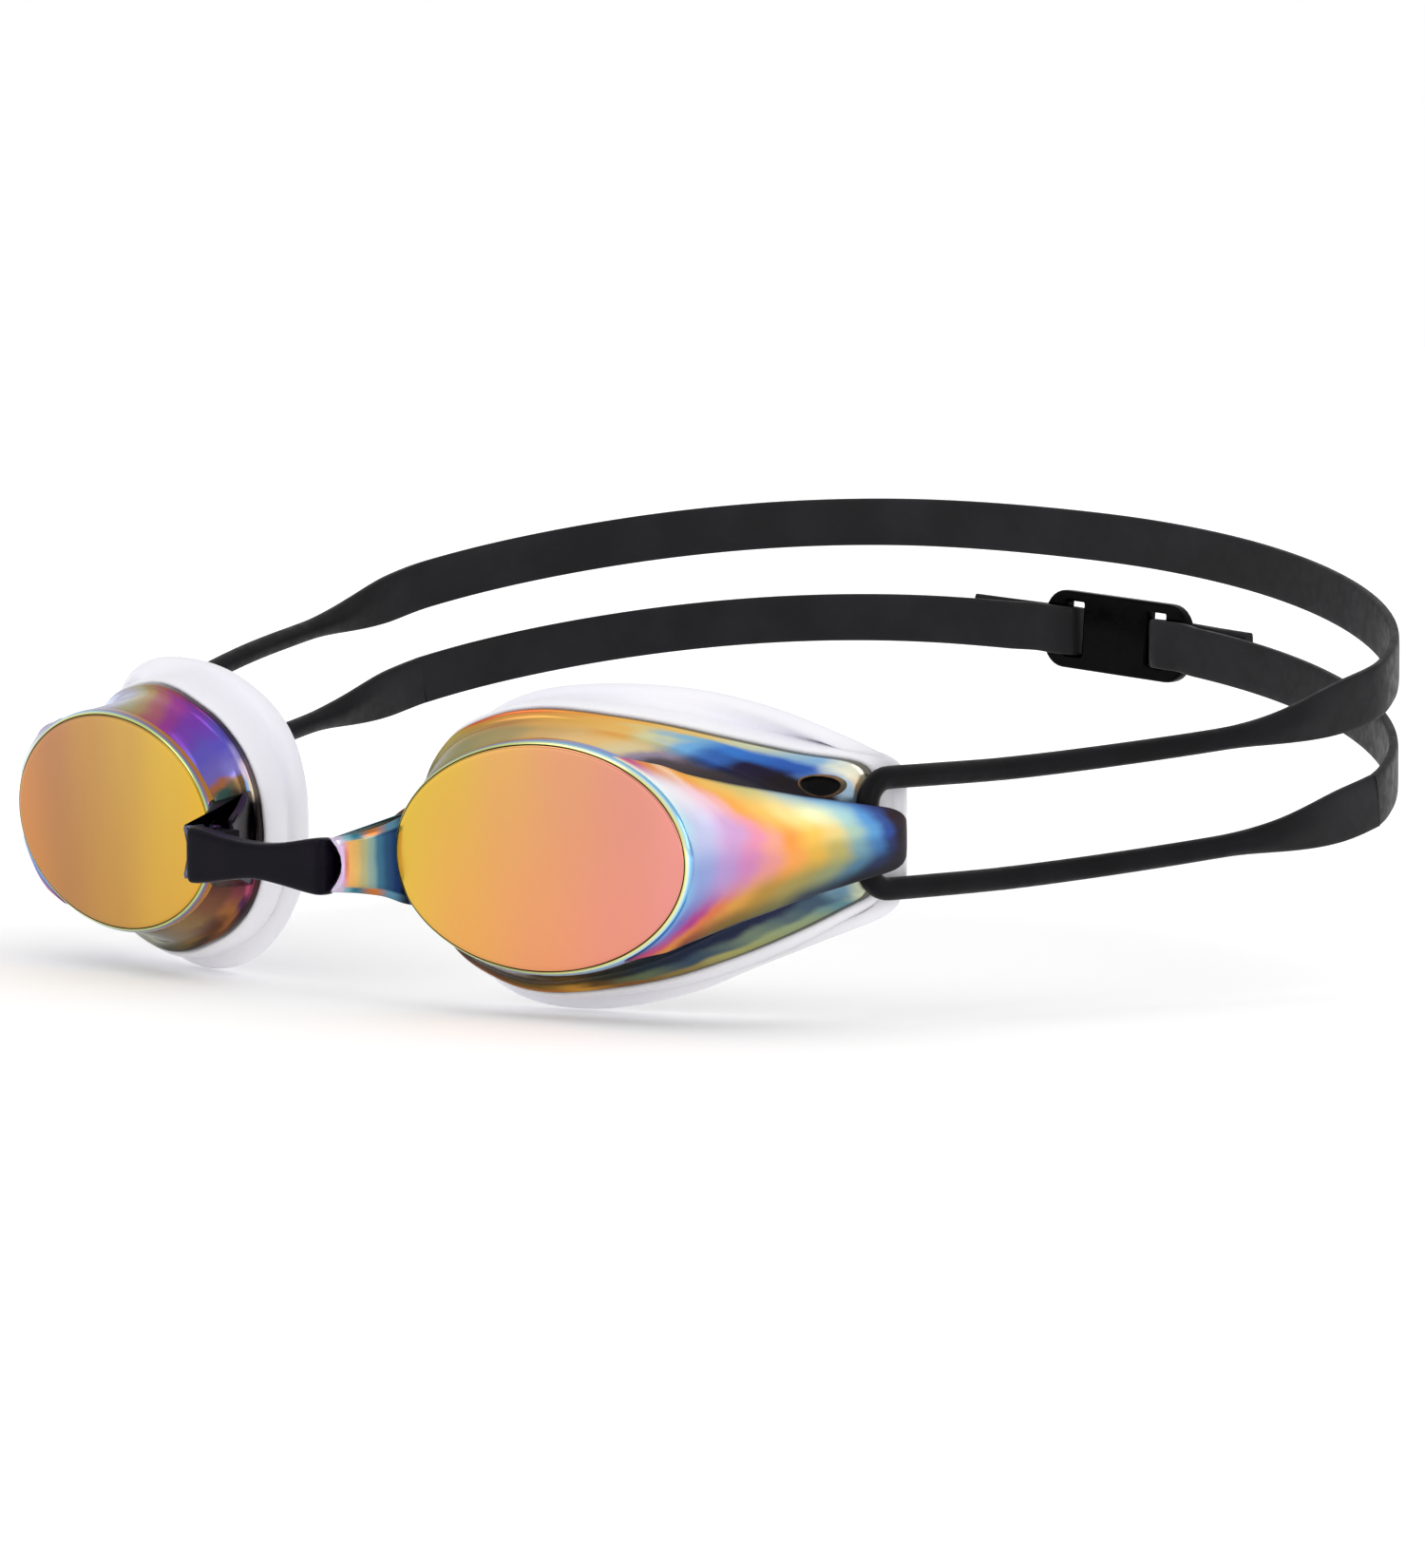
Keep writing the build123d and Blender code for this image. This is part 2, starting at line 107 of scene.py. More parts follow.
# ---- wing: its path from above, from inside the face's edge to the hooked tip
WING_PATH = [(39.0, 1.3), (45.0, 2.1), (50.4, 3.0), (55.4, 6.5), (59.8, 12.0), (62.7, 17.8), (63.9, 21.8),
             (63.7, 23.7), (62.2, 24.5), (60.0, 23.7)]
WING_Y = [1.0, 2.0, 3.0, 6.5, 12.0, 18.0, 21.5, 22.8, 24.0, 25.0]
WING_TOP = [10.9, 10.4, 9.6, 8.6, 7.3, 6.3, 5.7, 5.1, 4.0, 3.6]
WING_BOTTOM = [-10.5, -9.6, -8.3, -6.1, -3.6, -1.9, -1.1, -0.5, 0.7, 1.1]
WING_ROOT_ANGLE = 62.0
WING_THICKNESS = 1.3
WING_FALL = 1.6           # how far its upper and lower edges fall back
FALL_AWAY = (-0.663, 0.749)
TIP_SHARE = 0.8           # the share of the wing's length up to the turned-in tip

# ---- mouth of the cord's tunnel, from the front
EYELET_MOUTH = (56.0, 7.75)
EYELET_HALF_LENGTH = 1.9
EYELET_HALF_HEIGHT = 1.25

# ---- nose tab from above: each point with its top and bottom height
TAB = [(10.9, -9.65, 1.5, -4.35), (11.6, -9.7, 1.5, -4.35), (12.25, -8.0, 1.7, -4.45),
       (12.9, -6.0, 2.0, -4.7), (13.9, -4.0, 2.65, -5.1), (15.2, -2.2, 3.6, -5.9),
       (16.4, 0.4, 4.2, -6.4), (14.2, 3.4, 4.4, -6.2),
       (13.2, 2.4, 4.4, -6.0), (12.3, 0.8, 4.2, -5.5), (11.4, -1.2, 2.8, -4.8), (10.5, -3.0, 1.9, -4.5),
       (10.0, -3.6, 1.4, -4.35)]
TAB_MOUTH = [(10.75, -6.55), (11.3, -6.95), (11.35, -8.2)]
TAB_FRONT_POINTS = 6      # how many of its first points are on the coloured front
TAB_ROOT = (15.2, -1.9)
TAB_LENGTH = 7.6          # from its root to its tip
TAB_LIP = (11.1, -9.7)
TAB_LIP_REACH = 2.2
TAB_LIP_PUSH = (0.42, 0.9)
HOOK_HEIGHTS = (1.4, -4.35)
PIN = (10.9, -5.0)
BORE_RADIUS = 1.27
BORE_ARC = (128, -112)    # the part of the bore that the hook closes, in degrees

# ---- bridge
WEB_HALF_LENGTH = 10.65
WEB_HALF_DEPTH = 1.35
WEB_MIDDLE = (-9.15, -1.5)        # y and z
WEB_WAIST = (1.75, 2.1)   # height above and below the middle at the waist
WEB_FLARE = 1.2           # how much taller it is at its ends
WEB_CORNER = 0.36         # 1 is a round section, and nearer 0 is squarer
WEB_ENDS = [(1.0, 0.45), (0.985, 0.78), (0.95, 0.97), (0.88, 1.0), (0.7, 1.0), (0.5, 1.0), (0.25, 1.0)]
LEG_LOW = -3.9
LEG_HIGH = 0.9
PIN_RADIUS = 1.2

# ---- strap, as in the CAD model
CORD_RADIUS = 1.25
CORD_SPREAD = 5.9
EYELET = (61.0, 20.3, 2.8)
EYELET_BEND = 2.9
CORDS_LEFT = [(62.15, 27.0, 2.8), (64.2, 40.0, 2.9), (68.6, 53.5, 3.8), (73.9, 67.6, 5.2)]
CORDS_RIGHT = [(-62.15, 27.0, 2.8), (-63.8, 39.5, 6.2), (-66.5, 53.0, 9.4), (-69.7, 67.6, 11.8)]
BAND_WIDTH = 6.0
BAND_THICKNESS = 1.2
BAND_SPREAD = 6.1
TAPER_START_Y = 66.0
TAPER_END_Y = 84.0
SIDE_Y = 86.0
BACK_Y = 124.5
HALF_WIDTH_LEFT = 78.1
HALF_WIDTH_RIGHT = 71.8
SIDE_POWER = 0.88
BACK_POWER = 1.1
STRAP_LEAN = -0.046
CLIP_X = 13.1
CLIP_STANDOFF = 0.8
CLIP_HALF_LENGTH = 11.65
CLIP_HALF_HEIGHT = 4.85
CLIP_THICKNESS = 1.7
CLIP_CORNER = 2.9
CLIP_EDGE = 0.35
SLOT_CORNER = 0.6
SLOT_INNER = 5.3
SLOT_OUTER = 8.1
SLOT_HALF_HEIGHT = 3.35
CLIP_RAISE = 0.05         # the plate above the band's middle line
SLOT_RAISE = 0.28         # the slots above it
FOLD_DROP = 0.3           # the folded end sits this much lower than the band it lies on
FOLD = [(11.9, -0.4), (9.6, -0.4), (7.7, -0.2), (6.85, 0.5), (6.7, 1.7), (6.9, 2.8), (7.9, 3.35), (10.0, 3.4),
        (12.4, 3.1), (17.0, 1.3), (22.5, -0.1)]
FRONT_CORD_END = 38.0     # y where the front stretch of cord gives way to the rear one
STRAP_BLEND_END = 56.0


# ------------------------------------------------------------------ curves and meshes

def smooth(points, steps=14):
    """A dense smooth run through given points."""
    points = [np.array(p, float) for p in points]
    run = []
    for i in range(len(points) - 1):
        p1, p2 = points[i], points[i + 1]
        p0 = points[i - 1] if i > 0 else 2 * p1 - p2
        p3 = points[i + 2] if i + 2 < len(points) else 2 * p2 - p1
        for t in np.arange(steps) / steps:
            run.append(0.5 * (2 * p1 + (p2 - p0) * t + (2 * p0 - 5 * p1 + 4 * p2 - p3) * t * t
                              + (3 * p1 - p0 - 3 * p2 + p3) * t ** 3))
    return np.array(run + [points[-1]])


def lengths_along(run):
    """How far along a run each of its points lies."""
    return np.concatenate([[0], np.cumsum(np.linalg.norm(np.diff(run, axis=0), axis=1))])


def unit(vector):
    return vector / np.linalg.norm(vector)


def turns(count):
    """Angles evenly spaced round a circle."""
    return np.linspace(0, 2 * math.pi, count, endpoint=False)


def signed_power(value, power):
    """A power that keeps its value's sign."""
    return math.copysign(abs(value) ** power, value)


def ease(share):
    """A share from 0 to 1, with a gentle start and end."""
    return share * share * (3 - 2 * share)


def spaced(run, count):
    """count points, evenly spaced along a run."""
    lengths = lengths_along(run)
    wanted = np.linspace(0, lengths[-1], count)
    return np.stack([np.interp(wanted, lengths, run[:, k]) for k in range(run.shape[1])], axis=1)


def loop_of(top, bottom):
    """A closed outline: from the nose end over the top to the outer end, and back below."""
    half = AROUND // 2 + 1
    upper = spaced(smooth(top), half)
    lower = spaced(smooth(bottom), half)
    return np.vstack([upper, lower[-2:0:-1]])


def side_normals(outline):
    """Unit vectors square to a closed outline, on the left of its direction."""
    step = np.roll(outline, -1, axis=0) - np.roll(outline, 1, axis=0)
    normal = np.stack([-step[:, 1], step[:, 0]], axis=1)
    return normal / np.linalg.norm(normal, axis=1)[:, None]


def outset(outline, distance):
    """A closed outline moved outwards."""
    return outline + side_normals(outline) * distance


def on_sheet(outline, edge, depth):
    """An outline from the front, laid on a sheet that stands on an edge from above, at a depth behind it."""
    run = smooth(edge)
    slope = np.gradient(run[:, 1], run[:, 0])
    size = np.hypot(1.0, slope)
    x = run[:, 0] - depth * slope / size
    y = run[:, 1] + depth / size
    set_back = np.interp(outline[:, 0], x, y)
    if edge is FLANGE_EDGE:
        set_back -= FLANGE_LEAN * outline[:, 1] * np.interp(outline[:, 0], [20.0, 46.0], [1.0, 0.0])
    return np.stack([outline[:, 0], set_back, outline[:, 1]], axis=1)


def on_flange(outline, depth):
    return on_sheet(outline, FLANGE_EDGE, depth)


def on_gasket(outline, depth):
    return on_sheet(outline, GASKET_EDGE, depth)


def mix_rows(first, second, share):
    return first * (1 - share) + second * share


FACE_ALONG = Vector((math.cos(math.radians(FACE_WRAP)), math.sin(math.radians(FACE_WRAP)), 0))
FACE_AHEAD = Vector((math.sin(math.radians(FACE_WRAP)), -math.cos(math.radians(FACE_WRAP)), 0))
FACE_TALL = Vector((0, 0, math.cos(math.radians(FACE_LEAN)))) + FACE_AHEAD * math.sin(math.radians(FACE_LEAN))
FACE_X = FACE_ALONG * math.cos(math.radians(FACE_RISE)) + FACE_TALL * math.sin(math.radians(FACE_RISE))
FACE_Y = FACE_TALL * math.cos(math.radians(FACE_RISE)) - FACE_ALONG * math.sin(math.radians(FACE_RISE))
FACE_NORMAL = FACE_X.cross(FACE_Y)


def face_point(angle, grow, depth, share=1.0):
    """A point of the face's ellipse, grown outwards and set back by depth."""
    across = (FACE_HALF_LENGTH * share + grow) * math.cos(angle)
    up = (FACE_HALF_HEIGHT * share + grow) * math.sin(angle)
    return np.array(FACE_CENTRE + FACE_X * across + FACE_Y * up - FACE_NORMAL * depth)


def ellipse_angles():
    """Angles evenly spaced by length, from the nose end over the top and back below."""
    angles = np.linspace(math.pi, -math.pi, 721)
    run = np.stack([FACE_HALF_LENGTH * np.cos(angles), FACE_HALF_HEIGHT * np.sin(angles)], axis=1)
    lengths = lengths_along(run)
    return np.interp(np.linspace(0, lengths[-1], AROUND + 1)[:-1], lengths, angles)


ANGLES = ellipse_angles()


def ellipse(grow, depth, share=1.0):
    return np.array([face_point(a, grow, depth, share) for a in ANGLES])


def add_object(name, data):
    thing = bpy.data.objects.new(name, data)
    bpy.context.scene.collection.objects.link(thing)
    return thing


def mesh_of(name, points, faces, mirrored=False, values=None, levels=1, crisp=()):
    """A mesh object in metres, mirrored for the wearer's right, with named values on its points.
    crisp holds runs of point numbers whose shared edges stay sharp."""
    points = np.array(points, float) * MM
    if mirrored:
        points[:, 0] *= -1
        faces = [tuple(reversed(face)) for face in faces]
    mesh = bpy.data.meshes.new(name)
    mesh.from_pydata([tuple(p) for p in points], [], faces)
    for key, numbers in (values or {}).items():
        attribute = mesh.attributes.new(key, "FLOAT", "POINT")
        attribute.data.foreach_set("value", np.array(numbers, np.float32))
    mesh.polygons.foreach_set("use_smooth", [True] * len(mesh.polygons))
    if crisp:
        ends = np.zeros(2 * len(mesh.edges), int)
        mesh.edges.foreach_get("vertices", ends)
        ends = ends.reshape(-1, 2)
        sharp = np.zeros(len(ends), bool)
        for run in crisp:
            sharp |= np.isin(ends, list(run)).all(axis=1)
        crease = mesh.attributes.new("crease_edge", "FLOAT", "EDGE")
        crease.data.foreach_set("value", sharp.astype(np.float32))
        mesh.attributes.new("sharp_edge", "BOOLEAN", "EDGE").data.foreach_set("value", sharp)
    mesh.update()
    piece = add_object(name, mesh)
    if levels:
        modifier = piece.modifiers.new("smooth", "SUBSURF")
        modifier.levels = levels
        modifier.render_levels = levels
    return piece


def loft(name, rows, mirrored=False, around=True, wrap=False, caps=(False, False), levels=1, values=None,
         crisp=False):
    """A mesh through rows of equally many points. around closes each row, wrap joins the last row to the
    first, and crisp keeps the edges of its caps sharp."""
    rows = [np.array(row, float) for row in rows]
    count = len(rows[0])
    points = np.vstack(rows)
    faces = []
    last = len(rows) if wrap else len(rows) - 1
    for r in range(last):
        for k in range(count if around else count - 1):
            a = r * count + k
            b = r * count + (k + 1) % count
            c = ((r + 1) % len(rows)) * count
            faces.append((a, b, c + (k + 1) % count, c + k))
    numbers = {key: list(np.array(value, float).ravel()) for key, value in (values or {}).items()}
    firsts = (0, (len(rows) - 1) * count)
    for cap, first in zip(caps, firsts):
        if cap:
            centre = len(points)
            points = np.vstack([points, points[first:first + count].mean(axis=0)])
            for key in numbers:
                numbers[key].append(float(np.mean(numbers[key][first:first + count])))
            for k in range(count):
                pair = (first + k, first + (k + 1) % count)
                faces.append((centre, pair[1], pair[0]) if first == 0 else (centre, *pair))
    rings = [range(first, first + count) for first in firsts] if crisp else ()
    return mesh_of(name, points, faces, mirrored, numbers, levels, rings)


def round_values(rows, across):
    """Values for a ring-shaped loft: how far along from the nose, above or below, and across the rows."""
    k = np.arange(AROUND) / (AROUND / 2)
    along = np.where(k <= 1, k, 2 - k)
    side = np.sin(math.pi * k)
    return {"along": np.tile(along, (len(rows), 1)), "side": np.tile(side, (len(rows), 1)),
            "across": np.repeat(np.array(across, float)[:, None], AROUND, axis=1)}


# ------------------------------------------------------------------ materials

def new_material(name):
    material = bpy.data.materials.new(name)
    material.use_nodes = True
    tree = material.node_tree
    return material, tree, tree.nodes["Principled BSDF"]


def srgb(code):
    """A colour written as #rrggbb, as linear numbers."""
    channels = [int(code[i:i + 2], 16) / 255 for i in (1, 3, 5)]
    return tuple(c / 12.92 if c <= 0.04045 else ((c + 0.055) / 1.055) ** 2.4 for c in channels) + (1.0,)


def tones(text):
    """Colour stops from text such as "0 0c0c1c, 50 d0a454": each is a place in percent and a colour."""
    return [(float(where) / 100, "#" + code) for where, code in (stop.split() for stop in text.split(","))]


def feed(tree, item, socket):
    """Sets a socket to a fixed value, or links it to another socket."""
    if isinstance(item, (int, float, tuple)):
        socket.default_value = item
    else:
        tree.links.new(item, socket)


def value_of(tree, name):
    node = tree.nodes.new("ShaderNodeAttribute")
    node.attribute_name = name
    return node.outputs["Fac"]


def maths(tree, operation, first, second=0.0, third=0.0):
    node = tree.nodes.new("ShaderNodeMath")
    node.operation = operation
    for slot, item in enumerate((first, second, third)):
        feed(tree, item, node.inputs[slot])
    return node.outputs[0]


def spread(tree, source, low, high, first=0.0, last=1.0, interpolation="SMOOTHSTEP"):
    node = tree.nodes.new("ShaderNodeMapRange")
    node.interpolation_type = interpolation
    tree.links.new(source, node.inputs["Value"])
    node.inputs["From Min"].default_value = low
    node.inputs["From Max"].default_value = high
    node.inputs["To Min"].default_value = first
    node.inputs["To Max"].default_value = last
    return node.outputs["Result"]


def ramp(tree, source, stops):
    node = tree.nodes.new("ShaderNodeValToRGB")
    node.color_ramp.interpolation = "EASE"
    elements = node.color_ramp.elements
    while len(elements) > 1:
        elements.remove(elements[-1])
    elements[0].position = stops[0][0]
    elements[0].color = srgb(stops[0][1])
    for where, code in stops[1:]:
        elements.new(where).color = srgb(code)
    tree.links.new(source, node.inputs["Fac"])
    return node.outputs["Color"]


def blend_colours(tree, share, first, second, kind="MIX"):
    node = tree.nodes.new("ShaderNodeMix")
    node.data_type = "RGBA"
    node.blend_type = kind
    for slot, item in (("Factor", share), ("A", first), ("B", second)):
        kind_of_value = "VALUE" if slot == "Factor" else "RGBA"
        feed(tree, item, next(s for s in node.inputs if s.name == slot and s.type == kind_of_value))
    return next(s for s in node.outputs if s.type == "RGBA")


def place(tree):
    return tree.nodes.new("ShaderNodeTexCoord").outputs["Object"]


def noise(tree, scale, detail=3.0, stretch=None):
    node = tree.nodes.new("ShaderNodeTexNoise")
    node.inputs["Scale"].default_value = scale
    node.inputs["Detail"].default_value = detail
    source = place(tree)
    if stretch:
        mapping = tree.nodes.new("ShaderNodeMapping")
        mapping.inputs["Scale"].default_value = stretch
        tree.links.new(source, mapping.inputs["Vector"])
        source = mapping.outputs["Vector"]
    tree.links.new(source, node.inputs["Vector"])
    return node.outputs["Fac"]


def drift(tree, amount, scale, detail, stretch=None):
    """Noise centred on zero, with a range of amount."""
    return maths(tree, "MULTIPLY_ADD", noise(tree, scale, detail, stretch), amount, -amount / 2)


def mottle(tree, scale, low, high, detail=3.0):
    """A value that goes between two limits in soft patches."""
    return spread(tree, noise(tree, scale, detail), 0.3, 0.7, low, high)


def paint(tree, shader, colour):
    tree.links.new(colour, shader.inputs["Base Color"])


def roughen(tree, shader, scale, low, high):
    tree.links.new(mottle(tree, scale, low, high), shader.inputs["Roughness"])


def bump(tree, shader, height, distance, strength):
    node = tree.nodes.new("ShaderNodeBump")
    node.inputs["Distance"].default_value = distance
    node.inputs["Strength"].default_value = strength
    tree.links.new(height, node.inputs["Height"])
    tree.links.new(node.outputs["Normal"], shader.inputs["Normal"])


def mirror_finish(tree, shader, low, high):
    """A mirror coating's gloss, with the faintest haze."""
    shader.inputs["Metallic"].default_value = 1.0
    roughen(tree, shader, 260.0, low, high)


def face_material(name, stops, low_stops, sign):
    """A flat mirror coat whose colour drifts along the face and warms towards its lower edge."""
    material, tree, shader = new_material(name)
    split = tree.nodes.new("ShaderNodeSeparateXYZ")
    tree.links.new(place(tree), split.inputs[0])
    inner, outer = (x * MM for x in FACE_COLOUR_SPAN)
    drop = FACE_COLOUR_DROP * MM
    along = spread(tree, maths(tree, "MULTIPLY", split.outputs["X"], sign), inner, outer, 0, 1, "LINEAR")
    down = spread(tree, split.outputs["Z"], drop, -drop)
    where = maths(tree, "ADD", along, drift(tree, 0.05, 60.0, 1.0))
    colour = blend_colours(tree, down, ramp(tree, where, stops), ramp(tree, where, low_stops))
    colour = blend_colours(tree, 1.0, colour, srgb(FACE_TINT), "MULTIPLY")
    paint(tree, shader, colour)
    mirror_finish(tree, shader, 0.10, 0.16)
    return material


def rim_material(name, top_stops, outer_stops):
    """The bevel round the face: fine bands of colour that run round it."""
    material, tree, shader = new_material(name)
    where = maths(tree, "ADD", value_of(tree, "across"), drift(tree, 0.12, 90.0, 2.0))
    outer = spread(tree, value_of(tree, "along"), 0.35, 0.75)
    colour = blend_colours(tree, outer, ramp(tree, where, top_stops), ramp(tree, where, outer_stops))
    paint(tree, shader, colour)
    mirror_finish(tree, shader, 0.16, 0.24)
    return material


def shell_material(name, top, bottom):
    """The coated cup and flange. top and bottom each hold colour stops, from the nose end to the outer
    end, for four strips: the wall, the flange's root, its middle and its edge. Besides the coat's colours,
    the stops hold painted dark reflections, painted shade and painted highlights."""
    material, tree, shader = new_material(name)
    along = maths(tree, "ADD", value_of(tree, "along"), drift(tree, 0.09, 170.0, 4.0, (1, 1, 2.2)))
    across = value_of(tree, "across")
    wavy = maths(tree, "ADD", across, drift(tree, 0.26, 230.0, 3.0, (0.6, 0.6, 1.5)))
    halves = []
    for wall, root, middle, edge in (bottom, top):
        colour = ramp(tree, along, wall)
        for low, high, stops in ((0.30, 0.48, root), (0.60, 0.72, middle), (0.80, 0.92, edge)):
            colour = blend_colours(tree, spread(tree, wavy, low, high), colour, ramp(tree, along, stops))
        halves.append(colour)
    # Each half has its own stops: on the near lens the lower half is far darker, as painted shade.
    upper = spread(tree, value_of(tree, "side"), -0.12, 0.12)
    colour = blend_colours(tree, upper, halves[0], halves[1])
    outline = spread(tree, across, 0.975, 0.995, 0.0, 0.85)
    colour = blend_colours(tree, outline, colour, srgb("#1c120e"))
    paint(tree, shader, colour)
    mirror_finish(tree, shader, 0.13, 0.24)
    shader.inputs["Metallic"].default_value = 0.6
    return material


def wing_material(name, streaks, border_code, reach):
    """A coated blade: streaks of colour along it, one run of stops for each height across it. The stops
    end at reach, and beyond it the last colour goes on."""
    material, tree, shader = new_material(name)
    wander = drift(tree, 0.15, 120.0, 5.0, (1.0, 1.0, 2.4))
    inner = spread(tree, value_of(tree, "along"), 0.0, reach, 0.0, 1.0, "LINEAR")
    settle = spread(tree, value_of(tree, "along"), 0.0, 0.15)
    along = maths(tree, "ADD", inner, maths(tree, "MULTIPLY", wander, settle))
    waver = drift(tree, 0.5, 75.0, 4.0)
    height = maths(tree, "ADD", value_of(tree, "across"), maths(tree, "MULTIPLY", waver, settle))
    colour = ramp(tree, along, streaks[0][1])
    for (low, _), (high, stops) in zip(streaks, streaks[1:]):
        colour = blend_colours(tree, spread(tree, height, low, high), colour, ramp(tree, along, stops))
    border = spread(tree, maths(tree, "ABSOLUTE", value_of(tree, "across")), 0.93, 1.0, 0.0, 0.9)
    border = maths(tree, "MULTIPLY", border, spread(tree, value_of(tree, "along"), 0.15, 0.4))
    colour = blend_colours(tree, border, colour, srgb(border_code))
    paint(tree, shader, colour)
    mirror_finish(tree, shader, 0.38, 0.5)
    shader.inputs["Metallic"].default_value = 0.5
    return material


def tab_material(name, run, edge):
    """The nose tab: a coloured front, painted shade on its other sides, and painted highlight lines along its
    edges.
    """
    material, tree, shader = new_material(name)
    along = maths(tree, "ADD", value_of(tree, "along"), drift(tree, 0.12, 300.0, 3.0, (1, 1, 0.6)))
    front = ramp(tree, along, run)
    # The sides off the front: a near-black mottle, painted shade.
    inside = ramp(tree, noise(tree, 420.0, 3.0), tones("35 07060a, 55 1c1214, 75 2a2a3c"))
    colour = blend_colours(tree, value_of(tree, "front"), inside, front)
    # Painted highlight lines along the top and bottom bevels and the lip.
    line = spread(tree, value_of(tree, "edge"), 0.55, 0.95)
    colour = blend_colours(tree, line, colour, ramp(tree, along, edge))
    paint(tree, shader, colour)
    mirror_finish(tree, shader, 0.18, 0.28)
    return material


def eyelet_material():
    """The cord's hole beside the wing: black inside, painted shade for the dark tunnel, with a brown coated
    lip.
    """
    material, tree, shader = new_material("eyelet_lip_and_painted_shade")
    tint = ramp(tree, noise(tree, 300.0, 2.0), tones("35 5c4030, 50 8a6a50, 65 5a5a48"))
    colour = blend_colours(tree, spread(tree, value_of(tree, "across"), 0.3, 0.9), srgb("#050406"), tint)
    paint(tree, shader, colour)
    shader.inputs["Specular IOR Level"].default_value = 0.1
    roughen(tree, shader, 400.0, 0.25, 0.4)
    return material


def silicone_material():
    """White silicone: milky, satin, with the faint mottle of a moulded skin."""
    material, tree, shader = new_material("gasket_silicone")
    colour = blend_colours(tree, mottle(tree, 45.0, 0.0, 1.0, 2.0), srgb("#edecf4"), srgb("#f4f3f8"))
    paint(tree, shader, colour)
    shader.inputs["Subsurface Weight"].default_value = 0.25
    shader.inputs["Subsurface Radius"].default_value = (0.9, 0.85, 1.0)
    shader.inputs["Subsurface Scale"].default_value = 0.0015
    shader.inputs["Coat Weight"].default_value = 0.15
    shader.inputs["Coat Roughness"].default_value = 0.3
    roughen(tree, shader, 900.0, 0.36, 0.46)
    bump(tree, shader, noise(tree, 2600.0, 2.0), 0.00002, 0.3)
    return material


def black_material(name, shades, roughness, specular, grain, flat_shades=None):
    """Black rubber or plastic, with a drift of tone and a fine grain. flat_shades are for a strap's band,
    which is a little lighter than its cord."""
    material, tree, shader = new_material(name)
    tone = spread(tree, noise(tree, 130.0, 4.0), 0.35, 0.7)
    colour = blend_colours(tree, tone, srgb(shades[0]), srgb(shades[1]))
    if flat_shades:
        flat = blend_colours(tree, tone, srgb(flat_shades[0]), srgb(flat_shades[1]))
        colour = blend_colours(tree, value_of(tree, "across"), colour, flat)
    paint(tree, shader, colour)
    roughen(tree, shader, 700.0, *roughness)
    shader.inputs["Specular IOR Level"].default_value = specular
    bump(tree, shader, noise(tree, 3200.0, 2.0), grain, 0.5)
    return material


# ------------------------------------------------------------------ colours

# The coat's colour shifts with the angle it is seen from, so each lens has its own runs: gold and NEAR for
# the wearer's left, bronze and FAR for the right. Each runs from the nose end to the outer end. The shell and
# tab runs also hold painted light: painted highlights, painted dark reflections and painted shade.
FACE_TINT = "#f2f3f2"     # multiplied into both faces
GOLD_FACE = tones("0 dcbc46, 20 e0b650, 40 e3ab66, 62 e39f76, 82 e39783, 100 f09c90")
GOLD_FACE_LOW = tones("0 eebf52, 25 f2ad62, 50 f3a272, 75 f29a84, 100 f29a92")
BRONZE_FACE = tones("0 e0b434, 18 d8af46, 40 c99e52, 62 bf8f55, 82 b8815a, 100 c98a5c")
BRONZE_FACE_LOW = tones("0 e8ae40, 25 dcaa46, 50 c8944c, 75 bd8550, 100 d68f50")

RIM_TOP = tones("0 2a2a22, 10 38391f, 20 b9c27a, 42 d9d98f, 60 7fb8a0, 78 8a6aa8, 100 b0782f")
RIM_OUTER = tones("0 20221e, 9 3a3c20, 18 d8dd70, 38 f2f4c4, 58 cfeef4, 80 86c8ea, 100 8f9fd8")

# Near shell, upper half: the dark stops at the outer end of the wall and root are painted shade in the crease
# under the wing, and the near-white stops towards the edge strip's outer end are a painted highlight.
NEAR_TOP = (
    tones("0 0c0c1c, 12 3a3a2c, 26 8a8450, 40 a49058, 50 d0a454, 60 ecc068, 67 e0cc94, 71 8c7c98, "
          "75 2c1424, 81 24100e, 88 1a1014, 100 0b0810"),
    tones("0 16122c, 14 5a5a34, 26 a48c44, 36 b48444, 46 dca850, 58 ecbc64, 65 d8d8a8, 70 74b4e8, "
          "75 3468b8, 80 1c1238, 87 160a12, 100 0e0a12"),
    tones("0 241a2c, 12 64603a, 22 a89a50, 30 c08a3c, 42 d89c4c, 52 ecb45c, 61 e4cc88, 67 8cc0dc, "
          "75 3c80d8, 84 2c5cb4, 91 a8c4d8, 100 1c2a50"),
    tones("0 241a2c, 14 6c6a3a, 23 b0903c, 30 c4502c, 38 d87038, 46 e89c44, 56 f0b454, 66 ecc878, "
          "75 d4d8b4, 83 90bce0, 89 f8f6dc, 93 f4cc94, 97 4a78b8, 100 1c2a50"))
# Near shell, lower half: kept far darker than the upper half as painted shade, near black on the wall and
# root, with a painted highlight in the pale stops near the edge strip's outer end.
NEAR_BOTTOM = (
    tones("0 0c0c1c, 20 0a0a0c, 40 14100e, 52 241c14, 62 0e1018, 75 12142c, 88 0c0c1c, 100 0b0810"),
    tones("0 0c0c14, 20 141210, 34 2c2414, 44 5a4218, 52 2c2e20, 60 1c2a3a, 70 1a2440, 82 1c2444, "
          "92 241c24, 100 120c18"),
    tones("0 141018, 18 2a1a18, 30 5a3a1c, 38 6c5420, 45 c08a30, 50 5c4018, 57 5c6a4c, 66 33485a, "
          "76 6c7c6a, 86 3c5468, 93 7aa4b8, 100 1c2238"),
    tones("0 141018, 18 5a2c20, 30 8a5424, 40 b0702c, 47 d89a34, 54 8a5c2c, 62 8f7a44, 70 a2a062, "
          "80 8e9c74, 88 5c848c, 93 efeec4, 96 e8a080, 100 2b3a66"))
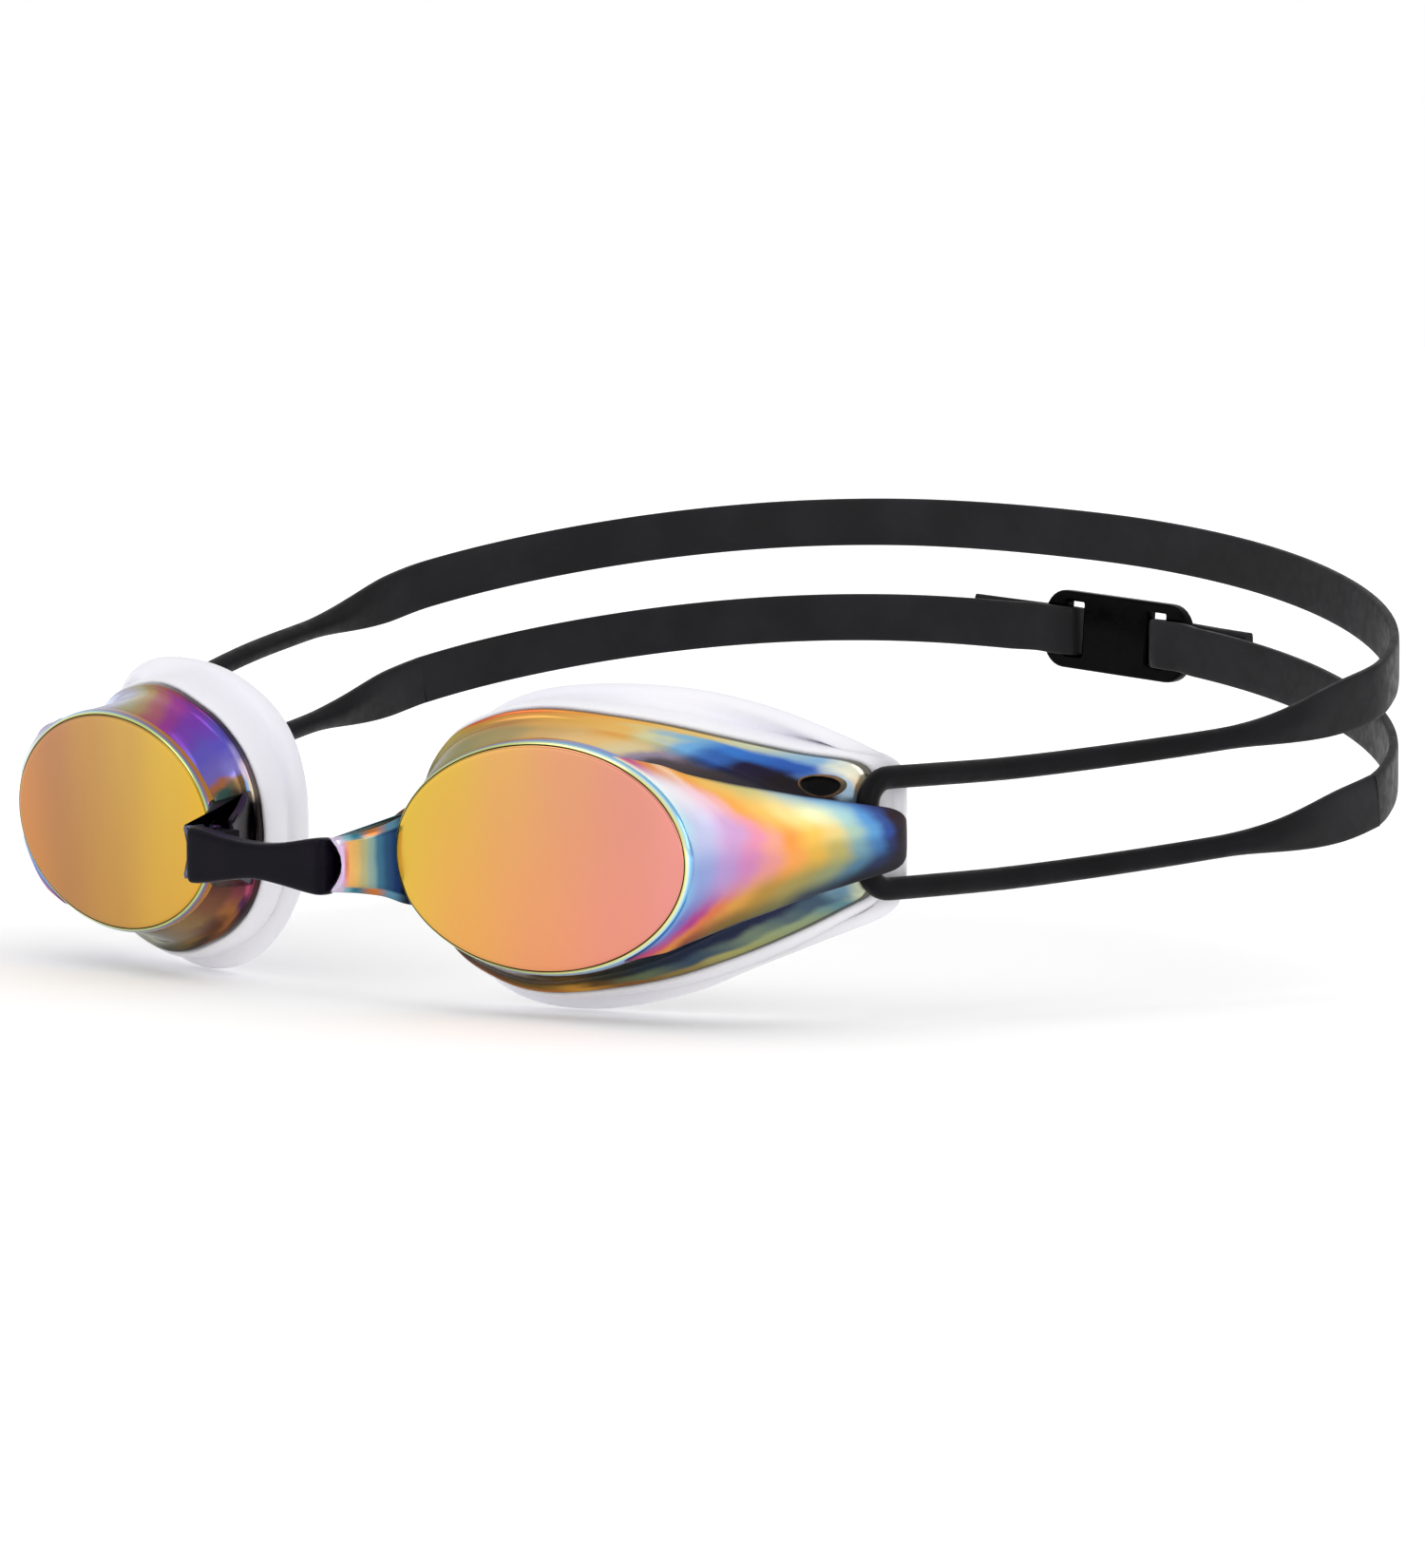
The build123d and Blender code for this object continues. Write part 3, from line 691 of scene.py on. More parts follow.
# Far shell, upper half: the near-black stops at the nose end are a painted dark reflection of the black
# bridge, and the pale stops just beside them are a painted highlight.
FAR_TOP = (
    tones("0 08070a, 6 0c0a0e, 8.5 2c4c44, 11 9c5c34, 13 6c60b0, 19 5c50b4, 26 6c309c, 33 8c2c88, "
          "39 a05060, 44 a0804c, 49 949060, 55 9697bc, 75 6a78b0, 100 201a30"),
    tones("0 08070a, 6 0a090c, 9 7a5a30, 12 8078c4, 18 5c50bc, 26 7430a4, 33 9a2c90, 39 a85868, "
          "44 ac8848, 49 a89e70, 55 a8acc8, 75 7c8cc4, 100 2c2440"),
    tones("0 08070a, 5 0a090c, 7 6ca4d8, 10 d8d0f0, 14 9c90d0, 20 5450b4, 27 7030a0, 33 902c88, "
          "39 a05058, 45 98742f, 50 a09a74, 56 a49fb8, 75 8aa0d8, 100 3c3460"),
    tones("0 08070a, 5 0a090c, 7 f0dcc0, 10 ecd0e0, 14 8c84c8, 20 4c3c98, 28 7c2478, 34 963450, "
          "40 94503c, 46 94702f, 51 98946c, 57 9c9ab8, 75 8aa0d8, 100 3c3460"))
# Far shell, lower half: the near-black stops at the nose end are a painted dark reflection of the black
# bridge.
FAR_BOTTOM = (
    tones("0 08070a, 7 180c10, 12 5c3020, 18 7a4a2c, 27 8c6a34, 36 66583a, 46 93987c, 75 6a6a8c, "
          "100 201a30"),
    tones("0 08070a, 7 1c1014, 12 7a3440, 17 9a602e, 23 5a3018, 30 7e5c26, 37 5a5434, 46 a4a88c, "
          "75 7a7a9c, 100 2c2440"),
    tones("0 08070a, 6 1c1014, 10 b0486c, 14 4a1c4c, 19 8c5428, 26 3c2412, 33 5c4a1e, 40 3c3826, "
          "48 8c8c74, 75 8a8aac, 100 3c3460"),
    tones("0 08070a, 6 201014, 10 8a3450, 15 2c1424, 22 6c3c1c, 30 2c1c10, 40 3c3826, 48 8c8c74, "
          "75 8a8aac, 100 3c3460"))

WING_STREAKS = [
    (-0.95, tones("0 5a2a6a, 8 c8486c, 16 d88a3c, 26 8a4a34, 40 7a6430, 55 6c6a44, 70 2c3a4c, 86 10121e, "
                  "100 0e0a10")),
    (-0.6, tones("0 74a8e0, 6 7a6ab4, 13 b03c88, 20 d8744a, 30 d89a44, 42 b08a3c, 55 a09050, 68 8c946c, "
                 "80 4c7690, 90 1c2a50, 100 160c12")),
    (-0.15, tones("0 86c4ea, 8 8fa0d4, 18 b494cc, 28 cc84b8, 36 e49490, 46 f0a050, 56 e0b048, 68 b8aa60, "
                  "78 78a0a8, 88 3c70a8, 95 1c2a58, 100 1c0f18")),
    (0.2, tones("0 b4e2f0, 8 c4c8e8, 20 d8a8d8, 30 f098b4, 38 f6a890, 46 f49a44, 56 f2be54, 66 e4cc80, "
                "76 a8c4b0, 86 5c9cd0, 93 2c4c98, 100 1c0f18")),
    (0.6, tones("0 e8f4f4, 8 f2ecf2, 18 f6d0dc, 27 f8b8b0, 34 f6ac50, 44 f6c464, 55 f4da8c, 66 e6e8b8, "
                "76 a8d0d4, 86 5898d4, 93 365399, 100 2a1218")),
    (0.95, tones("0 f4e8b0, 5 c84c8c, 10 e88c3c, 17 f4c8a0, 24 f2a848, 36 eec062, 50 c8c080, 62 8cb0c0, "
                 "76 4c86c0, 88 2c3c80, 100 1c0f18"))]
# the far wing, seen nearly edge on, ends in pale lilac
FAR_WING_STREAKS = WING_STREAKS[:-2] + [
    (0.45, WING_STREAKS[4][1]),
    (0.8, tones("0 b8b6cc, 20 aca8c8, 50 a09cc6, 80 8c94c8, 100 3c3460"))]
# Near tab: the front's run is near black at its root, painted shade where it meets the face; the edge run
# holds painted highlight lines along its bevels, palest at the lip.
TAB_RUN = tones("0 08080f, 7 101022, 16 1c3058, 28 2a4868, 42 3c6880, 52 7f9a92, 64 a8a478, 76 dcb468, "
                "87 e8b070, 94 e8b0a8, 100 d8b8e0")
TAB_EDGE = tones("0 1a1c30, 25 5c8ca4, 50 c8783c, 75 3c7c90, 92 8cb8c4, 100 d0c4dc")
# Far tab: dark all over, a painted dark reflection of the black bridge and painted shade; the pale end of its
# edge run is a painted highlight at the bridge's end.
FAR_TAB_RUN = tones("0 08070c, 30 1a141c, 55 34242c, 80 241a24, 93 1c1c2a, 100 1c1c28")
FAR_TAB_EDGE = tones("0 1c2c2c, 20 3c6460, 40 3c2c48, 70 16121c, 90 2a2c3c, 100 5c6078")


# ------------------------------------------------------------------ one lens

def dress(piece, material, body, replaced=()):
    piece.data.materials.append(material)
    if body:
        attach(piece, body)
    if replaced:
        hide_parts(*replaced)
    return piece


def lens_face(side, mirrored, material):
    shares = (0.25, 0.5, 0.75, 0.92)
    rows = [ellipse(0, 0, s) for s in shares] + [ellipse(-0.1, 0), ellipse(0.0, 0.03), ellipse(0.0, 0.4)]
    values = round_values(rows, shares + (1, 1, 1))
    piece = loft(f"lens_face_{side}", rows, mirrored, caps=(True, False), values=values)
    return dress(piece, material, f"lens_{side}")


def rim_row(grow, depth):
    """A ring round the face that is narrower beside the nose than at the outer end."""
    shares = [0.78 + 0.22 * math.cos(a) for a in ANGLES]
    return np.array([face_point(a, grow * share, depth) for a, share in zip(ANGLES, shares)])


def lens_rim(side, mirrored, material):
    steps = [(-0.02, 0.32, 0.0), (0.04, 0.10, 0.04), (0.12, 0.06, 0.15), (0.36, 0.2, 0.45), (0.6, 0.42, 0.8),
             (0.75, 0.75, 1.0), (0.8, 1.3, 1.0)]
    rows = [rim_row(grow, depth) for grow, depth, _ in steps]
    piece = loft(f"lens_rim_{side}", rows, mirrored, values=round_values(rows, [s[2] for s in steps]))
    return dress(piece, material, f"lens_{side}")


def lens_shell(side, mirrored, material):
    """Cup wall, flange and the inside of the cup, as one closed skin."""
    flange = loop_of(FLANGE_TOP, FLANGE_BOTTOM)
    foot = loop_of(FOOT_TOP, FOOT_BOTTOM)
    start = rim_row(0.72, 0.9)
    wall_foot = on_flange(foot, -1.0)
    inner_foot = on_flange(outset(foot, -1.5), 0.4)
    inner_face = ellipse(-0.7, 2.0)
    steps = [
        (rim_row(0.2, 1.0), 0.0), (start, 0.0), (mix_rows(start, wall_foot, 0.4), 0.18),
        (mix_rows(start, wall_foot, 0.8), 0.36), (wall_foot, 0.46),
        (on_flange(outset(foot, 0.35), -0.15), 0.56),
        (on_flange(mix_rows(outset(foot, 0.5), flange, 0.45), 0.0), 0.74),
        (on_flange(outset(flange, -0.25), 0.02), 0.95), (on_flange(flange, 0.22), 1.0),
        (on_flange(flange, 1.2), 1.0), (on_flange(outset(flange, -0.3), 1.48), 1.0),
        (on_flange(outset(foot, -0.6), FLANGE_THICKNESS), 0.8), (inner_foot, 0.6),
        (mix_rows(inner_foot, inner_face, 0.5), 0.4), (mix_rows(inner_foot, inner_face, 0.9), 0.2),
        (ellipse(-1.4, CUP_DEPTH), 0.1), (ellipse(0, CUP_DEPTH, 0.7), 0.1),
        (ellipse(0, CUP_DEPTH, 0.35), 0.1)]
    rows = [row for row, _ in steps]
    values = round_values(rows, [s for _, s in steps])
    piece = loft(f"lens_shell_{side}", rows, mirrored, caps=(False, True), values=values)
    return dress(piece, material, f"lens_{side}", [f"lens_{side}"])


def lens_wing(side, mirrored, material):
    """The blade from the face's edge to the hooked tip: rows run from the face outwards. Its upper and
    lower edges fall back from the middle."""
    path = spaced(smooth(WING_PATH), 400)
    lengths = lengths_along(path)
    heights, stations = 25, 40
    angles = np.radians(np.linspace(WING_ROOT_ANGLE, -WING_ROOT_ANGLE, heights))
    roots = np.array([face_point(a, 0.6, 0.42) for a in angles])
    reach = np.interp(roots[:, 0], path[:120, 0], lengths[:120])
    root_y = np.interp(reach, lengths, path[:, 1])
    root_low, root_high = np.interp(root_y, WING_Y, WING_BOTTOM), np.interp(root_y, WING_Y, WING_TOP)
    root_share = (roots[:, 2] - root_low) / (root_high - root_low)
    end_share = 1 - np.arange(heights) / (heights - 1)
    rows, along, across = [], [], []
    for u in np.linspace(0, 1, stations):
        travelled = reach + (lengths[-1] - reach) * u
        x, y = [np.interp(travelled, lengths, path[:, j]) for j in (0, 1)]
        low, high = np.interp(y, WING_Y, WING_BOTTOM), np.interp(y, WING_Y, WING_TOP)
        share = mix_rows(root_share, end_share, ease(min(1.0, u / 0.35)))
        settle = min(1.0, u / 0.12)
        y = roots[:, 1] * (1 - settle) + y * settle
        fall = WING_FALL * np.interp(u, [0, 0.12, 0.3, 0.55, TIP_SHARE, 0.9], [0, 0.5, 1.0, 0.95, 0.7, 0.3])
        fall = fall * (2 * share - 1) ** 2
        rows.append(np.stack([x + fall * FALL_AWAY[0], y + fall * FALL_AWAY[1], low + (high - low) * share],
                             axis=1))
        along.append([u] * heights)
        across.append(2 * end_share - 1)
    piece = loft(f"lens_wing_{side}", rows, mirrored, around=False, values={"along": along, "across": across})
    solid = piece.modifiers.new("thickness", "SOLIDIFY")
    solid.thickness = WING_THICKNESS * MM
    solid.offset = -1.0
    piece.modifiers.move(1, 0)
    return dress(piece, material, f"lens_{side}")


def lens_eyelet(side, mirrored, material):
    """The mouth of the cord's tunnel: an oval, shallow cup on the flange just above the wing's end. Its black
    floor is painted shade for the dark tunnel.
    """
    x, z = EYELET_MOUTH
    rows, across = [], []
    # The third number is the share of the brown lip; where it is 0 the floor is painted black, as shade.
    for share, depth, tint in ((1.0, 0.1, 0.6), (0.99, -0.2, 0.9), (0.93, -0.36, 1.0), (0.84, -0.34, 0.5),
                               (0.76, -0.24, 0.0), (0.3, -0.22, 0.0)):
        ring = [(x + EYELET_HALF_LENGTH * share * math.cos(a) * (1 + 0.2 * math.sin(a)),
                 z + EYELET_HALF_HEIGHT * share * math.sin(a) - 0.12 * math.cos(a))
                for a in np.linspace(0, -2 * math.pi, 32, endpoint=False)]
        rows.append(on_flange(np.array(ring), depth))
        across.append([tint] * 32)
    piece = loft(f"lens_eyelet_{side}", rows, mirrored, caps=(False, True), values={"across": across})
    return dress(piece, material, f"lens_{side}")


def tab_outline():
    """The tab from above with its open bore, as (x, y, top, bottom, front): front is 1 on the coloured
    side and 0 elsewhere."""
    outer = spaced(smooth([(*p, 1.0 if i < TAB_FRONT_POINTS else 0.0) for i, p in enumerate(TAB)], 8), 72)
    arc = [(PIN[0] + BORE_RADIUS * math.cos(a), PIN[1] + BORE_RADIUS * math.sin(a))
           for a in np.radians(np.linspace(*BORE_ARC, 22))]
    inner = [(x, y, *HOOK_HEIGHTS, 0.0) for x, y in arc + TAB_MOUTH]
    return np.array(list(outer) + inner)


def lens_tab(side, mirrored, material):
    """The flared tab beside the nose, ending in the open hook that snaps on to the bridge's pin."""
    outline = tab_outline()
    inward = side_normals(outline[:, :2])
    along = np.clip(np.hypot(*(outline[:, :2] - TAB_ROOT).T) / TAB_LENGTH, 0, 1)
    lip = np.clip(1 - np.hypot(*(outline[:, :2] - TAB_LIP).T) / TAB_LIP_REACH, 0, 1)
    rows, edges = [], []
    # Each level is a height, an inset and an edge mark: the higher the edge mark, the more of the painted
    # highlight line the row takes, and the lip adds to it.
    levels = ((1.0, 0.5, 0.7), (1.0, 0.22, 1.0), (0.93, 0.0, 1.0), (0.82, 0.0, 0.0), (0.66, 0.04, 0.0),
              (0.5, 0.06, 0.0), (0.34, 0.04, 0.0), (0.18, 0.0, 0.0), (0.07, 0.0, 1.0), (0.0, 0.22, 1.0),
              (0.0, 0.5, 0.7))
    for height, inset, edge in levels:
        middle = 1 - (2 * height - 1) ** 2
        xy = outline[:, :2] + inward * inset + np.outer(lip * middle * 1.5, TAB_LIP_PUSH)
        z = outline[:, 3] + (outline[:, 2] - outline[:, 3]) * height
        rows.append(np.column_stack([xy, z]))
        edges.append(edge + lip * 0.9 * (lip > 0.45))
    count = len(outline)
    faces = []
    for r in range(len(rows) - 1):
        for k in range(count):
            n = (k + 1) % count
            faces.append((r * count + k, (r + 1) * count + k, (r + 1) * count + n, r * count + n))
    faces.append(tuple(range(count)))
    faces.append(tuple(reversed(range((len(rows) - 1) * count, len(rows) * count))))
    values = {"along": np.tile(along, len(rows)), "front": np.tile(outline[:, 4], len(rows)),
              "edge": np.concatenate(edges)}
    piece = mesh_of(f"lens_tab_{side}", np.vstack(rows), faces, mirrored, values, levels=0)
    return dress(piece, material, f"lens_{side}")


def gasket(side, mirrored, material):
    """The soft ring: a band behind the flange, a crease, a lip that rolls over, and the eye opening."""
    flange = loop_of(FLANGE_TOP, FLANGE_BOTTOM)
    lip = loop_of(GASKET_TOP, GASKET_BOTTOM)
    opening = loop_of(OPENING_TOP, OPENING_BOTTOM)
    rows = [
        on_flange(outset(flange, -0.8), 1.6), on_flange(outset(flange, 0.1), 0.9),
        on_flange(outset(flange, 0.5), 1.1), on_flange(outset(flange, 0.75), 2.0),
        on_flange(outset(flange, 0.85), 3.2), on_flange(outset(flange, 0.75), 4.1),
        on_gasket(outset(lip, -1.25), -1.7), on_gasket(outset(lip, -0.5), -1.5),
        on_gasket(outset(lip, -0.08), -0.9), on_gasket(lip, -0.1),
        on_gasket(outset(lip, -0.25), 0.7), on_gasket(outset(lip, -1.0), 1.3),
        on_gasket(mix_rows(lip, opening, 0.4), 1.3), on_gasket(mix_rows(lip, opening, 0.75), 0.7),
        on_gasket(outset(opening, 0.3), -0.3), on_gasket(opening, -1.6),
        on_flange(outset(opening, 0.3), 2.6), on_flange(outset(opening, 0.9), 1.6)]
    piece = loft(f"gasket_soft_{side}", rows, mirrored, wrap=True, levels=2)
    return dress(piece, material, f"lens_{side}", [f"gasket_{side}"])


# ------------------------------------------------------------------ bridge

def bridge(material):
    """The waisted web with rounded ends, and the legs, necks and pins hidden behind it."""
    rows = []
    stations = [(-u, fill) for u, fill in WEB_ENDS] + [(0.0, 1.0)] + WEB_ENDS[::-1]
    for u, fill in stations:
        flare = min(1.0, abs(u) / 0.82)
        top = (WEB_WAIST[0] + WEB_FLARE * flare ** 1.8) * (0.72 + 0.28 * fill)
        bottom = (WEB_WAIST[1] + WEB_FLARE * flare ** 1.25) * (0.72 + 0.28 * fill)
        section = []
        for angle in turns(BAND_SIDES):
            c, s = math.cos(angle), math.sin(angle)
            rise = (top if s > 0 else bottom) * signed_power(s, WEB_CORNER)
            deep = WEB_HALF_DEPTH * fill * signed_power(c, WEB_CORNER)
            section.append((u * WEB_HALF_LENGTH, WEB_MIDDLE[0] - deep, WEB_MIDDLE[1] + rise))
        rows.append(section)
    web = loft("bridge_web", rows, caps=(True, True), levels=2)
    dress(web, material, "bridge", ["nose_bridge"])
    for sign, side in ((1, "left"), (-1, "right")):
        leg = block(f"bridge_leg_{side}", (sign * 7.9, -8.6, LEG_LOW), (sign * 9.5, -4.4, LEG_HIGH))
        neck = block(f"bridge_neck_{side}", (sign * 9.3, -5.55, LEG_LOW), (sign * 10.6, -4.45, LEG_HIGH))
        foot, head = [(sign * PIN[0], PIN[1], z) for z in (LEG_LOW, LEG_HIGH)]
        pin = rod(f"bridge_pin_{side}", foot, head, PIN_RADIUS)
        soften(leg, 0.3)
        soften(neck, 0.12)
        for piece in (leg, neck, pin):
            dress(piece, material, "bridge")


def soften(piece, width):
    modifier = piece.modifiers.new("edges", "BEVEL")
    modifier.width = width * MM
    modifier.segments = 3
    modifier.limit_method = "ANGLE"
    modifier.harden_normals = True


def rod(name, low, high, radius):
    """An upright pin with rounded ends."""
    rows = []
    rise = high[2] - low[2]
    ends = ((0, 0.7), (0.15, 0.93), (0.35, 1))
    for height, share in ends + tuple((rise - h, share) for h, share in ends[::-1]):
        reach = radius * share
        rows.append([(low[0] + reach * math.cos(a), low[1] + reach * math.sin(a), low[2] + height)
                     for a in turns(PIN_SIDES)])
    return loft(name, rows, caps=(True, True), levels=0)


def block(name, low, high):
    x0, x1 = sorted((low[0], high[0]))
    rows = [[(x0, low[1], z), (x1, low[1], z), (x1, high[1], z), (x0, high[1], z)] for z in (low[2], high[2])]
    return loft(name, rows, caps=(True, True), levels=0)


# ------------------------------------------------------------------ strap

def strap_height(x, y):
    back = y - EYELET[1]
    return 5.7 - 0.037 * back + 0.00206 * back * back + STRAP_LEAN * x


def loop_point(turn):
    """A point of the strap from above: turn is 90 at its left side, 0 at the back and -90 at its right."""
    half_width = HALF_WIDTH_LEFT if turn > 0 else HALF_WIDTH_RIGHT
    across = abs(math.sin(math.radians(turn))) ** SIDE_POWER
    back = abs(math.cos(math.radians(turn))) ** BACK_POWER
    return math.copysign(half_width * across, turn), SIDE_Y + (BACK_Y - SIDE_Y) * back


def side_route(sign, level):
    """The cord and the start of its band on one side (sign 1 is left), from the eyelet backwards."""
    cords = CORDS_LEFT if sign > 0 else CORDS_RIGHT
    width = HALF_WIDTH_LEFT if sign > 0 else HALF_WIDTH_RIGHT
    route = [(x, y, z + level * CORD_SPREAD) for x, y, z in cords]
    x = sign * width * 0.985
    route.append((x, 76.0, strap_height(x, 76.0) + level * (CORD_SPREAD + 0.1)))
    return route


def band_route(level):
    """The band from its left side round the back to its right side."""
    turns = [88, 80, 71, 62, 53, 44, 35, 26, 17, 8.5, 0, -8.5, -17, -26, -35, -44, -53, -62, -71, -80, -88]
    route = []
    for turn in turns:
        x, y = loop_point(turn)
        route.append((x, y, strap_height(x, y) + level * BAND_SPREAD))
    return route


def whole_run(level):
    """The whole centre line of the upper (1) or lower (-1) strap, from the left eyelet to the right."""
    left = side_route(1, level)
    right = side_route(-1, level)
    run = smooth(left + band_route(level) + right[::-1])
    length = np.linalg.norm(np.diff(run, axis=0), axis=1).sum()
    return spaced(run, int(length / STEP) + 1)


def ribbon_sections(run):
    """Sections along a strap: round where it is cord, flat where it is band, with a rib between."""
    rows, along, across = [], [], []
    tangents = np.gradient(run, axis=0)
    for index, (centre, tangent) in enumerate(zip(run, tangents)):
        tangent = unit(tangent)
        side = unit(np.cross(tangent, (0, 0, 1.0)))
        up = np.cross(side, tangent)
        forward = min(1.0, max(0.0, (centre[1] - TAPER_START_Y) / (TAPER_END_Y - TAPER_START_Y)))
        flat = ease(forward)
        tall = CORD_RADIUS + (BAND_WIDTH / 2 - CORD_RADIUS) * flat
        thick = CORD_RADIUS + (BAND_THICKNESS / 2 - CORD_RADIUS) * min(1.0, flat * 1.25)
        power = 1.0 - 0.62 * flat
        rib = CORD_RADIUS * 0.55 * (1 - forward) * min(1.0, flat * 4)
        row = []
        for angle in turns(BAND_SIDES):
            c, s = math.cos(angle), math.sin(angle)
            v = signed_power(s, power)
            h = signed_power(c, 0.4 + 0.6 * (1 - flat))
            swell = rib * math.exp(-(v * tall / 1.1) ** 2)
            row.append(centre + side * h * (thick + swell) + up * v * tall)
        rows.append(row)
        along.append([index / (len(run) - 1)] * BAND_SIDES)
        across.append([forward] * BAND_SIDES)
    return rows, {"along": along, "across": across}


def first_index(run, test):
    return next(i for i, p in enumerate(run) if test(p))


def strap_piece(name, run, material, replaced):
    rows, values = ribbon_sections(run)
    piece = loft(name, rows, caps=(True, True), values=values, crisp=True)
    dress(piece, material, None, replaced)
    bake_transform(piece)


def strap(material):
    """Both straps, in stretches."""
    upper, lower = whole_run(1), whole_run(-1)
    cuts = []
    for run in (upper, lower):
        left = first_index(run, lambda p: p[1] > FRONT_CORD_END)
        right = len(run) - 1 - first_index(run[::-1], lambda p: p[1] > FRONT_CORD_END)
        cuts.append((left, right))
    for side, ends in (("left", [run[:cut[0] + 1] for run, cut in zip((upper, lower), cuts)]),
                       ("right", [run[cut[1]:][::-1] for run, cut in zip((upper, lower), cuts)])):
        front_cord(side, ends[0], ends[1], material)
    bridge_strap = ("bridge", "strap", (0, FRONT_CORD_END * MM, 0), (0, STRAP_BLEND_END * MM, 0))
    first, last = cuts[0]
    strap_piece("strap_upper", upper[first:last + 1], material, ["strap_upper_band"])
    lower_strap(lower, *cuts[1], material, bridge_strap)


def front_cord(side, upper, lower, material):
    """One length of round cord: from the upper strap, down through the eyelet and back to the lower one."""
    route = np.vstack([upper[::-1], eyelet_bend(side, upper[0], lower[0]), lower])
    piece = loft(f"strap_cord_{side}", tube_rows(route, CORD_RADIUS), caps=(True, True), crisp=True)
    dress(piece, material, None,
          [f"strap_loop_{side}", f"cord_upper_{side}", f"cord_lower_{side}"])
    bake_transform(piece)


def eyelet_bend(side, top, bottom):
    """The middle of the cord behind the wing, between the starts of the two straps."""
    x = EYELET[0] if side == "left" else -EYELET[0]
    y = EYELET[1]
    z = (top[2] + bottom[2]) / 2
    turn = EYELET_BEND
    run = []
    for level in (1, -1):
        corner = np.array((x, y, z + level * CORD_SPREAD))
        away = (top if level > 0 else bottom) - corner
        reach = np.linalg.norm(away)
        away /= reach
        inward = np.array((0, 0, -level))
        straight = [corner + away * s for s in np.linspace(reach, turn, 4)[1:-1]]
        bend = [corner + away * turn * (1 - math.sin(a)) + inward * turn * (1 - math.cos(a))
                for a in np.linspace(0, math.pi / 2, 9)]
        part = straight + bend
        run += part if level > 0 else part[::-1]
    return np.array(run)


def lower_strap(run, left_cut, right_cut, material, bridge_strap):
    """The lower strap: a taper on each side, and a band from each to its fold through the clip."""
    left_seam = first_index(run, lambda p: p[1] > TAPER_END_Y + 4)
    right_seam = len(run) - 1 - first_index(run[::-1], lambda p: p[1] > TAPER_END_Y + 4)
    strap_piece("strap_taper_left", run[left_cut:left_seam + 1], material, ["strap_lower_left"])
    strap_piece("strap_taper_right", run[right_seam:right_cut + 1][::-1], material, ["strap_lower_right"])
    entry = CLIP_HALF_LENGTH + 1.6
    left_stop = first_index(run, lambda p: p[0] < CLIP_X + entry and p[1] > SIDE_Y)
    right_stop = first_index(run, lambda p: p[0] < CLIP_X - entry and p[1] > SIDE_Y)
    middle, along, down, outward = clip_axes()
    for side, sign, band in (("left", 1, run[left_seam:left_stop]),
                             ("right", -1, run[right_stop + 1:right_seam + 1][::-1])):
        fold = np.array([middle + along * sign * u + outward * v
                         + down * FOLD_DROP * min(1.0, max(0.0, v / 3)) for u, v in FOLD])
        tail = smooth(np.vstack([band[-1], fold]), 5)[1:]
        strap_piece(f"strap_band_{side}", np.vstack([band, tail]), material,
                    [f"strap_feed_{side}", f"strap_end_{side}"])


def tube_rows(route, radius):
    tangents = np.gradient(route, axis=0)
    reference = np.array((1.0, 0.0, 0.0))
    rows = []
    for centre, tangent in zip(route, tangents):
        tangent = unit(tangent)
        side = unit(reference - tangent * np.dot(reference, tangent))
        up = np.cross(tangent, side)
        rows.append([centre + radius * (math.cos(a) * side + math.sin(a) * up)
                     for a in turns(CORD_SIDES)])
    return rows


# ------------------------------------------------------------------ clip

def clip_axes():
    """The clip's middle on the lower band, with its long, downward and outward directions."""
    turn = math.degrees(math.asin((CLIP_X / HALF_WIDTH_LEFT) ** (1 / SIDE_POWER)))
    spots = []
    for step in (-1, 0, 1):
        x, y = loop_point(turn + step)
        spots.append(np.array((x, y, strap_height(x, y) - BAND_SPREAD)))
    along = unit(spots[2] - spots[0])
    outward = unit(-np.cross(along, (0, 0, 1.0)))
    return spots[1], along, np.cross(outward, along), outward


def rounded_box(half_length, half_height, corner, middle=0.0, drop=0.0):
    """The outline of a rectangle with round corners, in the clip's plane."""
    points = []
    for quarter, (sx, sy) in enumerate(((1, 1), (-1, 1), (-1, -1), (1, -1))):
        for a in np.linspace(0, math.pi / 2, 8) + quarter * math.pi / 2:
            points.append((middle + sx * (half_length - corner) + corner * math.cos(a),
                           drop + sy * (half_height - corner) + corner * math.sin(a)))
    return points


